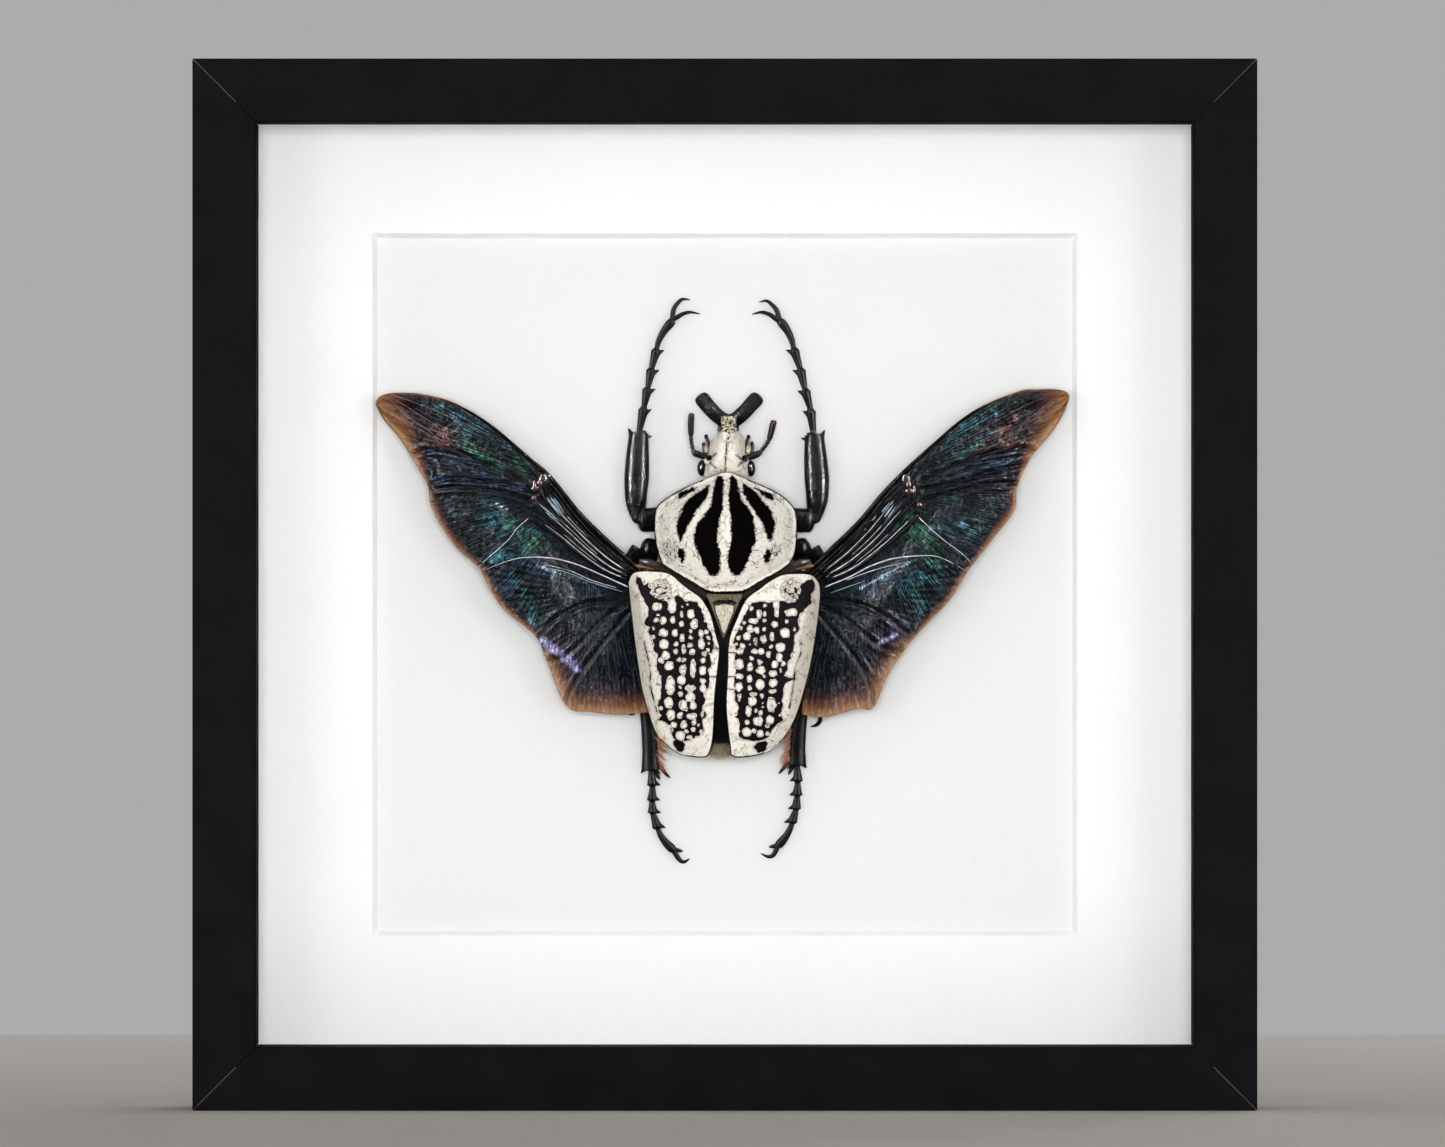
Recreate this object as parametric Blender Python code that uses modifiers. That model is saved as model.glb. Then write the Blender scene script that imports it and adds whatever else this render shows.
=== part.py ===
"""A spread goliath beetle in a black shadow box, with glass, a white mat and a closed back.

Metres, +Z up. The front faces -Y, and the origin is the middle of the bottom of the frame.
Every size below is in millimetres. The specimen's outlines are (x, z) pairs from its datum, the
middle of the joint between pronotum and scutellum, and h is the height above the backing board.
"""

import math

import bmesh
import bpy
import numpy as np
from mathutils import Matrix, Vector

MM = 0.001
GAP = 0.3  # left between pieces that touch

# Frame
FRAME_WIDTH = 250.0
FRAME_HEIGHT = 247.0
FRAME_DEPTH = 45.0
FACE_WIDTH = 14.8
LIP_THICKNESS = 4.0
LIP_OVERLAP = 5.0
RAIL_CHAMFER = 0.4
BACK_RECESS = 3.2

# Sheets inside the frame
GLASS_THICKNESS = 2.0
MAT_THICKNESS = 1.5
MAT_WINDOW_WIDTH = 164.5
MAT_WINDOW_HEIGHT = 164.0
MAT_BEVEL = 1.0
BOARD_THICKNESS = 2.0
PANEL_THICKNESS = 3.0

# Fittings on the back
TAB_LENGTH = 14.0
TAB_WIDTH = 8.0
TAB_THICKNESS = 0.6
TABS_PER_SIDE = 2
HANGER_LENGTH = 60.0
HANGER_HEIGHT = 11.0
HANGER_THICKNESS = 1.2
HANGER_TEETH = 9
HANGER_TOOTH_DEPTH = 1.6
HANGER_FOOT = 9.0

# Levels in Y, from the front to the back
FRONT = -FRAME_DEPTH / 2
BACK = FRAME_DEPTH / 2
GLASS_FRONT = FRONT + LIP_THICKNESS + GAP
PANEL_FRONT = BACK - BACK_RECESS - PANEL_THICKNESS
BOARD_FRONT = PANEL_FRONT - GAP - BOARD_THICKNESS
MAT_FRONT = BOARD_FRONT - GAP - MAT_THICKNESS
SHEET_WIDTH = FRAME_WIDTH - 2 * (FACE_WIDTH - LIP_OVERLAP) - 2 * GAP
SHEET_HEIGHT = FRAME_HEIGHT - 2 * (FACE_WIDTH - LIP_OVERLAP) - 2 * GAP
FRAME_MIDDLE = FRAME_HEIGHT / 2

# Specimen: where its datum lies, and how fine its surfaces are
DATUM_Z = 121.75
LINE_STEPS = 6
SEGMENTS = 28
RINGS = 12

# Pronotum: outline, clockwise from the middle of its front edge
PRONOTUM = [
    (0.3, 28.3), (3.9, 27.2), (12.1, 23.6), (15.7, 20.7), (16.9, 18.3), (17.1, 14.2),
    (16.5, 9.0), (14.5, 5.9), (8.8, 2.6), (4.4, 0.2), (0.3, -0.1), (-3.8, 0.1), (-8.4, 2.6),
    (-13.9, 5.9), (-15.1, 7.3), (-16.2, 11.0), (-16.7, 15.5), (-16.2, 19.7), (-13.9, 22.0),
    (-9.1, 24.8), (-3.8, 27.0),
]
PRONOTUM_CENTRE = (0.3, 13.6)
PRONOTUM_CROWN = 24.5
PRONOTUM_UNDERSIDE = 6.0

# Wing cases: outlines, from the shoulder down the outer margin and back up the suture
ELYTRON_LEFT = [
    (-21.1, 4.7), (-22.6, 2.8), (-22.6, 0.0), (-21.2, -12.2), (-19.4, -23.5), (-16.6, -32.5),
    (-14.3, -35.5), (-11.3, -37.9), (-8.3, -38.8), (-4.5, -38.9), (-3.2, -36.8), (-2.6, -33.0),
    (-2.3, -25.3), (-1.5, -17.8), (-1.1, -13.3), (-1.9, -10.3), (-3.0, -5.8), (-4.5, -2.8),
    (-6.0, -0.9), (-9.8, 1.7), (-12.8, 4.2), (-16.6, 4.9),
]
ELYTRON_RIGHT = [
    (21.8, 2.8), (22.5, 0.6), (22.2, -4.7), (20.5, -15.9), (18.0, -25.7), (16.2, -30.6),
    (13.9, -34.4), (10.9, -37.4), (6.8, -38.7), (1.9, -38.8), (1.1, -35.9), (0.4, -30.2),
    (0.2, -25.3), (0.6, -17.8), (0.6, -14.1), (1.1, -10.3), (2.6, -6.5), (4.9, -1.7),
    (8.6, 1.2), (12.4, 3.6), (15.0, 4.3), (19.9, 4.2),
]
ELYTRON_CENTRE_X = 11.5
ELYTRON_CENTRE_Z = -16.0
ELYTRON_CROWN = 21.8
ELYTRON_WALL = 1.1

# Body under the wing cases: the right half of its outline, from front to tip
BODY_HALF = [
    (6.0, 5.0), (14.0, 5.8), (18.2, 5.0), (19.7, 2.0), (19.3, -8.0), (17.6, -18.0),
    (15.8, -26.0), (12.5, -32.5), (8.0, -36.6), (3.0, -38.4),
]
BODY_CENTRE = (0.0, -15.0)
BODY_RIM = 7.0
BODY_CROWN = 18.6

# Scutellum
SCUTELLUM = [(-4.3, -0.6), (4.2, -0.6), (-0.3, -10.9)]
SCUTELLUM_HEIGHT = 20.6
SCUTELLUM_THICKNESS = 1.2

# Head: outline of the capsule, clockwise from the left of its base, then the horn's two arms
HEAD = [
    (-5.0, 28.9), (-4.2, 31.6), (-3.4, 34.0), (-2.5, 36.4), (-1.4, 38.6), (-1.3, 41.2),
    (1.1, 41.6), (3.3, 41.2), (3.3, 38.6), (4.4, 36.4), (5.1, 34.0), (5.6, 31.6), (6.2, 28.9),
    (3.6, 28.7), (0.5, 28.7), (-2.5, 28.7),
]
HEAD_CENTRE = (0.8, 33.5)
HEAD_RIM = 12.6
HEAD_CROWN = 17.2
HEAD_UNDERSIDE = 8.6
HORN_LEFT = [(1.1, 40.0), (-0.8, 42.4), (-3.0, 44.6), (-5.0, 46.7)]
HORN_RIGHT = [(1.3, 40.0), (3.3, 42.2), (5.5, 44.3), (7.6, 46.2)]
HORN_WIDTHS = (1.3, 1.35, 1.4, 1.3)
EYES = [(-5.2, 29.6), (6.3, 29.6)]
PALPS = [
    [(-3.4, 33.2), (-4.6, 35.2), (-4.6, 37.2)],
    [(4.9, 33.0), (5.7, 35.2), (5.5, 37.1)],
]

# Antennae: from the head out to the club
ANTENNA_LEFT = [(-5.0, 32.0), (-6.9, 32.8), (-7.7, 34.6), (-8.2, 37.8), (-8.1, 40.2), (-7.9, 42.2)]
ANTENNA_RIGHT = [(6.4, 32.1), (8.2, 32.6), (9.6, 34.2), (10.5, 35.9), (11.1, 38.2), (11.7, 40.4)]
ANTENNA_WIDTHS = (0.7, 0.75, 0.45, 0.6, 0.8, 0.6)

# Flight wings: leading and trailing edge, both from the body out to the tip
WING_LEFT_FRONT = [
    (-18.8, 4.6), (-21.3, 6.9), (-28.3, 13.3), (-34.7, 19.7), (-40.6, 27.1), (-46.4, 32.2), (-55.0, 39.4),
    (-63.5, 44.5), (-74.2, 46.9), (-81.7, 46.6),
]
WING_LEFT_BACK = [
    (-18.0, -28.4), (-24.0, -28.9), (-31.5, -28.3), (-37.3, -26.8), (-42.2, -15.6), (-44.5, -10.6),
    (-51.8, -4.4), (-55.0, -0.1), (-58.2, 5.8), (-63.5, 10.6), (-68.9, 19.1), (-70.0, 24.8),
    (-71.5, 27.7), (-76.3, 35.7), (-82.2, 44.8),
]
WING_RIGHT_FRONT = [
    (19.0, 4.9), (22.3, 7.9), (26.1, 11.7), (32.5, 18.1), (38.3, 25.0), (47.4, 33.6), (58.1, 42.4),
    (68.8, 47.2), (74.1, 47.7), (80.6, 47.2),
]
WING_RIGHT_BACK = [
    (18.2, -28.9), (23.4, -29.5), (31.4, -27.6), (35.1, -27.1), (38.9, -18.8), (44.7, -10.8),
    (52.8, -2.2), (57.6, 5.2), (63.4, 12.7), (68.2, 19.1), (69.0, 24.8), (72.0, 31.4),
    (76.8, 37.3), (81.4, 45.3),
]
WING_SPAN_STEPS = 22
WING_CHORD_STEPS = 8
WING_THICKNESS = 0.45
WING_ROOT_HEIGHT = 10.9
WING_ARCH = 3.2
WING_FOLD = 0.6
WING_FOLDS = 2.0
HINGE_SPAN = 0.45  # share of the leading edge where the wing folds
RIB_WIDTHS = (1.1, 1.0, 0.9, 0.7)

# Legs: points are (x, z, h), then half widths
FRONT_FEMUR = {-1: [(-13.4, 17.2, 5.5), (-19.6, 16.9, 6.0)], 1: [(13.8, 17.0, 5.5), (20.2, 16.8, 6.0)]}
FRONT_FEMUR_WIDTHS = (2.5, 2.5)
FRONT_TIBIA = {
    -1: [(-19.8, 16.4, 6.2), (-21.2, 19.0, 6.0), (-21.5, 22.5, 5.8), (-21.2, 27.0, 5.6),
         (-20.8, 32.0, 5.4), (-20.4, 37.6, 5.2)],
    1: [(20.4, 16.4, 6.2), (21.6, 19.0, 6.0), (21.9, 22.5, 5.8), (21.7, 27.0, 5.6),
        (21.4, 32.0, 5.4), (21.1, 36.9, 5.2)],
}
FRONT_TIBIA_WIDTHS = (1.9, 2.3, 2.6, 2.55, 2.45, 2.4)
FRONT_TARSUS = {
    -1: [(-20.3, 37.4), (-19.1, 43.7), (-18.2, 48.3), (-17.3, 53.0), (-16.1, 57.8), (-12.2, 64.8)],
    1: [(21.0, 36.8), (20.2, 43.3), (18.9, 47.9), (17.8, 52.8), (16.2, 57.6), (12.9, 64.2)],
}
FRONT_TARSUS_HEIGHTS = (4.8, 3.0)
FRONT_CLAWS = {
    -1: [[(-12.4, 64.6), (-12.1, 66.7), (-11.1, 68.3), (-9.9, 69.2), (-8.2, 69.0)],
         [(-12.4, 64.4), (-11.3, 64.9), (-9.9, 65.7), (-8.2, 66.1), (-5.9, 65.7)]],
    1: [[(12.9, 64.2), (12.3, 66.4), (11.1, 67.9), (9.8, 68.8), (8.2, 68.5)],
        [(12.9, 64.0), (11.8, 64.7), (10.5, 65.6), (8.6, 66.1), (6.4, 65.6)]],
}
MIDDLE_LEG = {
    -1: [(-15.6, 8.9, 5.4), (-20.4, 9.3, 5.8), (-23.4, 5.6, 5.6), (-24.2, -1.0, 5.4),
         (-23.6, -9.0, 5.2), (-23.4, -17.0, 5.0)],
    1: [(15.8, 8.9, 5.4), (20.7, 9.3, 5.8), (23.6, 5.6, 5.6), (24.2, -1.0, 5.4),
        (23.6, -9.0, 5.2), (23.2, -16.0, 5.0)],
}
MIDDLE_LEG_WIDTHS = (2.6, 2.6, 1.8, 1.6, 1.6, 1.7)
MIDDLE_TARSUS = {
    -1: [(-23.4, -16.8), (-23.2, -20.0), (-22.8, -23.0), (-22.4, -26.5)],
    1: [(23.2, -15.8), (22.9, -19.4), (22.4, -22.8), (21.7, -26.8)],
}
MIDDLE_TARSUS_HEIGHTS = (4.8, 4.0)
MIDDLE_CLAW = {
    -1: [(-22.4, -26.3), (-22.8, -28.0), (-22.2, -28.8), (-21.2, -28.9)],
    1: [(21.7, -26.6), (22.6, -29.9), (21.7, -31.4), (20.2, -31.8)],
}
HIND_TIBIA = {
    -1: [(-19.6, -14.0, 6.0), (-19.6, -22.0, 6.0), (-18.3, -28.4, 5.8), (-17.8, -34.0, 5.4),
         (-17.5, -42.2, 4.8)],
    1: [(19.8, -14.0, 6.0), (19.6, -22.0, 6.0), (17.9, -28.4, 5.8), (17.3, -34.0, 5.4),
        (17.0, -41.0, 4.8)],
}
HIND_TIBIA_WIDTHS = (1.3, 1.5, 1.7, 1.7, 1.75)
HIND_TARSUS = {
    -1: [(-17.4, -41.9), (-17.1, -46.0), (-17.2, -49.5), (-17.0, -52.4), (-15.8, -56.0), (-12.0, -61.1)],
    1: [(17.1, -40.8), (17.2, -45.0), (17.1, -48.3), (16.8, -51.5), (15.8, -54.7), (12.4, -60.1)],
}
HIND_TARSUS_HEIGHTS = (4.2, 2.4)
HIND_SPURS = {
    -1: [[(-16.3, -40.0), (-14.6, -42.2), (-12.9, -44.0)], [(-16.9, -41.2), (-16.0, -43.2), (-15.3, -44.3)]],
    1: [[(15.8, -38.9), (14.2, -41.2), (12.7, -43.0)], [(16.5, -40.0), (15.6, -42.0), (15.0, -43.2)]],
}
HIND_CLAWS = {
    -1: [[(-12.2, -60.9), (-10.8, -63.2), (-9.6, -63.8), (-8.3, -63.0)], [(-12.0, -60.9), (-9.9, -61.3)]],
    1: [[(12.5, -60.0), (11.6, -62.0), (10.3, -62.6), (8.5, -61.8)], [(12.3, -60.0), (10.4, -60.3)]],
}
TARSUS_NARROW = 0.55
TARSUS_WIDE = 0.95
SPINE_LENGTH = 1.6
SPINE_WIDTH = 0.4
CLAW_WIDTH = 0.5
CLAW_POINT = 0.14


def finish(name, colour, roughness, metallic=0.0):
    """A plain material of its own."""
    made = bpy.data.materials.new(name)
    made.use_nodes = True
    shader = made.node_tree.nodes["Principled BSDF"]
    shader.inputs["Base Color"].default_value = (*colour, 1.0)
    shader.inputs["Roughness"].default_value = roughness
    shader.inputs["Metallic"].default_value = metallic
    made.diffuse_color = (*colour, 1.0)
    return made


def clear_scene():
    for obj in list(bpy.data.objects):
        bpy.data.objects.remove(obj, do_unlink=True)


def collection(name):
    made = bpy.data.collections.new(name)
    bpy.context.scene.collection.children.link(made)
    return made


def face_out(bm):
    """Points every face of a closed shape outwards."""
    bmesh.ops.recalc_face_normals(bm, faces=bm.faces)
    if bm.calc_volume(signed=True) < 0:
        bmesh.ops.reverse_faces(bm, faces=bm.faces)


def keep(name, bm, material=None):
    """Turns a bmesh into an object of the part."""
    face_out(bm)
    mesh = bpy.data.meshes.new(name)
    bm.to_mesh(mesh)
    bm.free()
    obj = bpy.data.objects.new(name, mesh)
    PART.objects.link(obj)
    if material:
        mesh.materials.append(material)
    return obj


def add_modifier(obj, kind, **settings):
    modifier = obj.modifiers.new(kind.title(), kind)
    for key, value in settings.items():
        setattr(modifier, key, value)
    return modifier


def settle(obj):
    """Applies an object's modifiers, or turns a curve into a welded mesh."""
    graph = bpy.context.evaluated_depsgraph_get()
    mesh = bpy.data.meshes.new_from_object(obj.evaluated_get(graph))
    bm = bmesh.new()
    bm.from_mesh(mesh)
    bmesh.ops.remove_doubles(bm, verts=bm.verts, dist=1e-6)
    face_out(bm)
    bm.to_mesh(mesh)
    bm.free()
    settled = bpy.data.objects.new(obj.name, mesh)
    settled.matrix_world = obj.matrix_world.copy()
    name = obj.name
    PART.objects.link(settled)
    bpy.data.objects.remove(obj, do_unlink=True)
    settled.name = name
    return settled


def soften(obj, degrees=40.0):
    """Smooth shading that keeps edges sharper than this angle."""
    obj.data.shade_smooth()
    obj.data.set_sharp_from_angle(angle=math.radians(degrees))
    return obj


def place(x, z, h):
    """A point of the specimen in the part's frame."""
    return Vector((x, BOARD_FRONT - h, DATUM_Z + z)) * MM


def box(name, low, high, material):
    bm = bmesh.new()
    bmesh.ops.create_cube(bm, size=1.0)
    low, high = Vector(low) * MM, Vector(high) * MM
    bmesh.ops.scale(bm, vec=high - low, verts=bm.verts)
    obj = keep(name, bm, material)
    obj.location = (low + high) / 2
    return obj


def prism(name, outline, thickness):
    """A flat outline in XY, extruded evenly to both sides of it."""
    curve = bpy.data.curves.new(name, "CURVE")
    curve.dimensions = "2D"
    curve.fill_mode = "BOTH"
    curve.extrude = thickness * MM / 2
    spline = curve.splines.new("POLY")
    spline.points.add(len(outline) - 1)
    for point, (x, y) in zip(spline.points, outline):
        point.co = (x * MM, y * MM, 0.0, 1.0)
    spline.use_cyclic_u = True
    obj = bpy.data.objects.new(name, curve)
    PART.objects.link(obj)
    flat = settle(obj)
    flat.data.shade_flat()
    return flat


def smooth_line(points, steps=LINE_STEPS, closed=False):
    """Points on a smooth line through the given ones."""
    points = [np.array(point, float) for point in points]
    count = len(points)
    spans = count if closed else count - 1
    line = []
    for i in range(spans):
        if closed:
            a, b, c, d = (points[(i + k) % count] for k in (-1, 0, 1, 2))
        else:
            a, b = points[max(i - 1, 0)], points[i]
            c, d = points[i + 1], points[min(i + 2, count - 1)]
        for step in range(steps):
            t = step / steps
            line.append(
                0.5 * (2 * b + (c - a) * t + (2 * a - 5 * b + 4 * c - d) * t**2
                       + (3 * b - a - 3 * c + d) * t**3)
            )
    if not closed:
        line.append(points[-1])
    return np.array(line)


class Outline:
    """A smooth closed line round a centre, crossed once by every ray from it."""

    def __init__(self, points, centre):
        self.centre = np.array(centre)
        line = smooth_line(points, closed=True) - self.centre
        angles = np.arctan2(line[:, 1], line[:, 0])
        order = np.argsort(angles)
        self.angles = angles[order]
        self.radii = np.hypot(line[:, 0], line[:, 1])[order]

    def radius(self, angle):
        return np.interp(angle, self.angles, self.radii, period=2 * math.pi)

    def at(self, angle, share):
        reach = self.radius(angle) * share
        return self.centre + reach * np.array((math.cos(angle), math.sin(angle)))

    def share(self, x, z):
        """0 at the centre and 1 on the line."""
        dx, dz = x - self.centre[0], z - self.centre[1]
        return math.hypot(dx, dz) / self.radius(math.atan2(dz, dx))


def lens(name, outline, top, bottom, grow=0.0, segments=SEGMENTS, rings=RINGS, material=None):
    """A sphere with its equator laid on an outline, and its halves on two height functions."""
    bm = bmesh.new()
    bmesh.ops.create_uvsphere(bm, u_segments=segments, v_segments=rings, radius=1.0)
    for vert in bm.verts:
        share = min(math.hypot(vert.co.x, vert.co.y), 1.0)
        angle = math.atan2(vert.co.y, vert.co.x)
        x, z = outline.at(angle, share)
        out = grow * vert.co
        rise = top(x, z, share) if vert.co.z >= 0 else bottom(x, z, share)
        vert.co = place(x + out.x, z + out.y, rise + out.z)
    return soften(keep(name, bm, material))


def tube(points, widths, sides=8):
    """A round bar through (x, z, h) points with a half width at each."""
    curve = bpy.data.curves.new("tube", "CURVE")
    curve.dimensions = "3D"
    curve.bevel_depth = MM
    curve.bevel_resolution = (sides - 4) // 2
    curve.use_fill_caps = True
    spline = curve.splines.new("POLY")
    spline.points.add(len(points) - 1)
    for point, (x, z, h), width in zip(spline.points, points, widths):
        point.co = (*place(x, z, h), 1.0)
        point.radius = width
    obj = bpy.data.objects.new("tube", curve)
    PART.objects.link(obj)
    return settle(obj)


def ball(x, z, h, radii, segments=12, rings=8):
    bm = bmesh.new()
    bmesh.ops.create_uvsphere(bm, u_segments=segments, v_segments=rings, radius=MM)
    bmesh.ops.scale(bm, vec=Vector(radii), verts=bm.verts)
    bmesh.ops.translate(bm, vec=place(x, z, h), verts=bm.verts)
    return keep("ball", bm)


def cut(obj, cutter, operation="DIFFERENCE"):
    """Cuts a helper from an object, or joins it on, and removes the helper."""
    add_modifier(obj, "BOOLEAN", operation=operation, solver="EXACT", object=cutter)
    made = settle(obj)
    bpy.data.objects.remove(cutter, do_unlink=True)
    return made


def fuse(name, bits, material):
    """Shapes that grow from one another, as one solid."""
    whole = bits[0]
    for bit in bits[1:]:
        whole = cut(whole, bit, "UNION")
    whole.name = name
    whole.data.name = name
    whole.data.materials.clear()
    whole.data.materials.append(material)
    return soften(whole)


def with_heights(points, start, end):
    """Adds evenly changing heights to (x, z) points."""
    heights = np.linspace(start, end, len(points))
    return [(x, z, h) for (x, z), h in zip(points, heights)]


def taper(count, start, end):
    return list(np.linspace(start, end, count))


def between(a, b, share):
    return tuple(np.array(a) * (1 - share) + np.array(b) * share)


def make_rail(name, length, turn, reach, material):
    """A rail with a rabbet, mitred at both ends and turned about the middle of the frame.

    It is made as the bottom rail, with its outer face at z = 0, and reach is the distance from
    that face to the frame's middle.
    """
    wall = FACE_WIDTH - LIP_OVERLAP
    lip = FRONT + LIP_THICKNESS
    profile = [(FRONT, 0.0), (BACK, 0.0), (BACK, wall), (lip, wall), (lip, FACE_WIDTH), (FRONT, FACE_WIDTH)]
    rail = prism(name, profile, length)
    # The profile's X becomes Y and its Y becomes Z, so the length runs along X
    rail.data.transform(Matrix(((0, 0, 1, 0), (1, 0, 0, 0), (0, 1, 0, 0), (0, 0, 0, 1))))
    bm = bmesh.new()
    bm.from_mesh(rail.data)
    for side in (-1, 1):
        end = side * (length / 2 - GAP / math.sqrt(2)) * MM
        bmesh.ops.bisect_plane(
            bm, geom=bm.verts[:] + bm.edges[:] + bm.faces[:],
            plane_co=(end, 0, 0), plane_no=(side, 0, 1), clear_outer=True,
        )
        bmesh.ops.holes_fill(bm, edges=[edge for edge in bm.edges if edge.is_boundary])
    bmesh.ops.dissolve_limit(bm, angle_limit=0.01, verts=bm.verts, edges=bm.edges)
    face_out(bm)
    bm.to_mesh(rail.data)
    bm.free()
    middle = Matrix.Translation((0, 0, FRAME_MIDDLE * MM))
    rail.data.transform(middle @ Matrix.Rotation(turn, 4, "Y") @ Matrix.Translation((0, 0, -reach * MM)))
    rail.data.materials.append(material)
    add_modifier(rail, "BEVEL", width=RAIL_CHAMFER * MM, segments=1, limit_method="ANGLE")


def make_frame():
    black = finish("black lacquered wood", (0.012, 0.012, 0.013), 0.45)
    half_width, half_height = FRAME_WIDTH / 2, FRAME_HEIGHT / 2
    make_rail("frame_rail_bottom", FRAME_WIDTH, 0.0, half_height, black)
    make_rail("frame_rail_left", FRAME_HEIGHT, math.pi / 2, half_width, black)
    make_rail("frame_rail_top", FRAME_WIDTH, math.pi, half_height, black)
    make_rail("frame_rail_right", FRAME_HEIGHT, -math.pi / 2, half_width, black)


def make_sheet(name, front, thickness, material):
    """A sheet that fills the rabbet, from its front level back."""
    half = SHEET_WIDTH / 2
    low = (-half, front, FRAME_MIDDLE - SHEET_HEIGHT / 2)
    high = (half, front + thickness, FRAME_MIDDLE + SHEET_HEIGHT / 2)
    return box(name, low, high, material)


def make_spacers():
    """Four strips between glass and mat, flush with the frame's sight edge."""
    paint = finish("black spacer board", (0.016, 0.016, 0.017), 0.7)
    front = GLASS_FRONT + GLASS_THICKNESS + GAP
    back = MAT_FRONT - GAP
    half_width, half_height = SHEET_WIDTH / 2, SHEET_HEIGHT / 2
    thickness = LIP_OVERLAP - GAP
    for name, side in (("spacer_bottom", -1), ("spacer_top", 1)):
        outer = FRAME_MIDDLE + side * half_height
        inner = outer - side * thickness
        box(name, (-half_width, front, min(outer, inner)), (half_width, back, max(outer, inner)), paint)
    low = FRAME_MIDDLE - half_height + thickness + GAP
    high = FRAME_MIDDLE + half_height - thickness - GAP
    for name, side in (("spacer_left", -1), ("spacer_right", 1)):
        outer = side * half_width
        inner = outer - side * thickness
        box(name, (min(outer, inner), front, low), (max(outer, inner), back, high), paint)


def make_mat():
    """The window mat. Its opening widens towards the front, as a bevel cutter leaves it."""
    mat = make_sheet("mat_board", MAT_FRONT, MAT_THICKNESS, finish("white mat board", (0.9, 0.9, 0.89), 0.85))
    bm = bmesh.new()
    bmesh.ops.create_cube(bm, size=2.0)
    spread = MAT_BEVEL / MAT_THICKNESS
    for vert in bm.verts:
        y = MAT_THICKNESS if vert.co.y > 0 else -2 * MAT_THICKNESS
        widen = spread * (MAT_THICKNESS - y)
        x = vert.co.x * (MAT_WINDOW_WIDTH / 2 + widen)
        z = vert.co.z * (MAT_WINDOW_HEIGHT / 2 + widen)
        if y > 0:
            y += MAT_THICKNESS
            x -= math.copysign(spread * MAT_THICKNESS, x)
            z -= math.copysign(spread * MAT_THICKNESS, z)
        vert.co = Vector((x, MAT_FRONT + y, FRAME_MIDDLE + z)) * MM
    cut(mat, keep("window", bm))


def make_back():
    """Hardboard panel, flat tabs along the rails and a sawtooth hanger."""
    make_sheet("back_panel", PANEL_FRONT, PANEL_THICKNESS, finish("brown hardboard", (0.16, 0.09, 0.05), 0.8))
    steel = finish("zinc plated steel", (0.55, 0.56, 0.57), 0.4, 1.0)
    level = BACK - BACK_RECESS + GAP
    outline = tab_outline()
    number = 1
    for turn in range(4):
        along_x = turn % 2 == 0
        reach = (SHEET_HEIGHT if along_x else SHEET_WIDTH) / 2
        run = (SHEET_WIDTH if along_x else SHEET_HEIGHT) / (TABS_PER_SIDE + 1)
        for place_on in range(TABS_PER_SIDE):
            offset = run * (place_on - (TABS_PER_SIDE - 1) / 2)
            tab = prism(f"tab_{number}", outline, TAB_THICKNESS)
            tab.data.materials.append(steel)
            # Laid on the panel with its square end at the rail, then turned to its side
            lay = Matrix.Translation(Vector((offset, 0, -reach)) * MM) @ Matrix.Rotation(math.pi / 2, 4, "X")
            tab.data.transform(Matrix.Rotation(turn * math.pi / 2, 4, "Y") @ lay)
            tab.location = Vector((0, level + TAB_THICKNESS / 2, FRAME_MIDDLE)) * MM
            number += 1
    hanger = prism("hanger_plate", hanger_outline(), HANGER_THICKNESS)
    hanger.data.materials.append(steel)
    hanger.data.transform(Matrix.Rotation(math.pi / 2, 4, "X"))
    top = FRAME_MIDDLE + SHEET_HEIGHT / 2
    hanger.location = Vector((0, level + HANGER_THICKNESS / 2, top - 1.5 * TAB_LENGTH)) * MM


def tab_outline():
    """A straight tab with one rounded end, standing on y = 0."""
    half = TAB_WIDTH / 2
    arc = [math.pi * i / 8 for i in range(9)]
    round_end = [(half * math.cos(a), TAB_LENGTH - half + half * math.sin(a)) for a in arc]
    return [(half, 0.0)] + round_end + [(-half, 0.0)]


def hanger_outline():
    """A flat bar with a row of teeth cut in the middle of its lower edge."""
    half, low = HANGER_LENGTH / 2, -HANGER_HEIGHT / 2
    outline = [(half, low), (half, -low), (-half, -low), (-half, low)]
    pitch = 2 * (half - HANGER_FOOT) / HANGER_TEETH
    for tooth in range(HANGER_TEETH):
        start = -half + HANGER_FOOT + tooth * pitch
        outline += [(start, low), (start + pitch / 2, low + HANGER_TOOTH_DEPTH)]
    return outline + [(half - HANGER_FOOT, low)]


def pronotum_rim(x, z):
    """Height of the pronotum's edge: low at the sides, higher behind than in front."""
    return 20.0 - 8.3 * (abs(x) / 17.0) ** 1.6 - 4.5 * max(0.0, (z - 8.0) / 20.0)


def make_pronotum(name="beetle_pronotum", grow=0.0, material=None):
    outline = Outline(PRONOTUM, PRONOTUM_CENTRE)

    def edge(x, z):
        share = max(outline.share(x, z), 0.05)
        return pronotum_rim((x - 0.3) / share, 13.6 + (z - 13.6) / share)

    def top(x, z, share):
        return PRONOTUM_CROWN - (PRONOTUM_CROWN - edge(x, z)) * share**2.4

    def bottom(x, z, share):
        rim = edge(x, z)
        return rim - (rim - PRONOTUM_UNDERSIDE) * (1 - share**2)

    return lens(name, outline, top, bottom, grow=grow, material=material)


def elytron_outline(side):
    points = ELYTRON_RIGHT if side > 0 else ELYTRON_LEFT
    return Outline(points, (side * ELYTRON_CENTRE_X, ELYTRON_CENTRE_Z))


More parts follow.
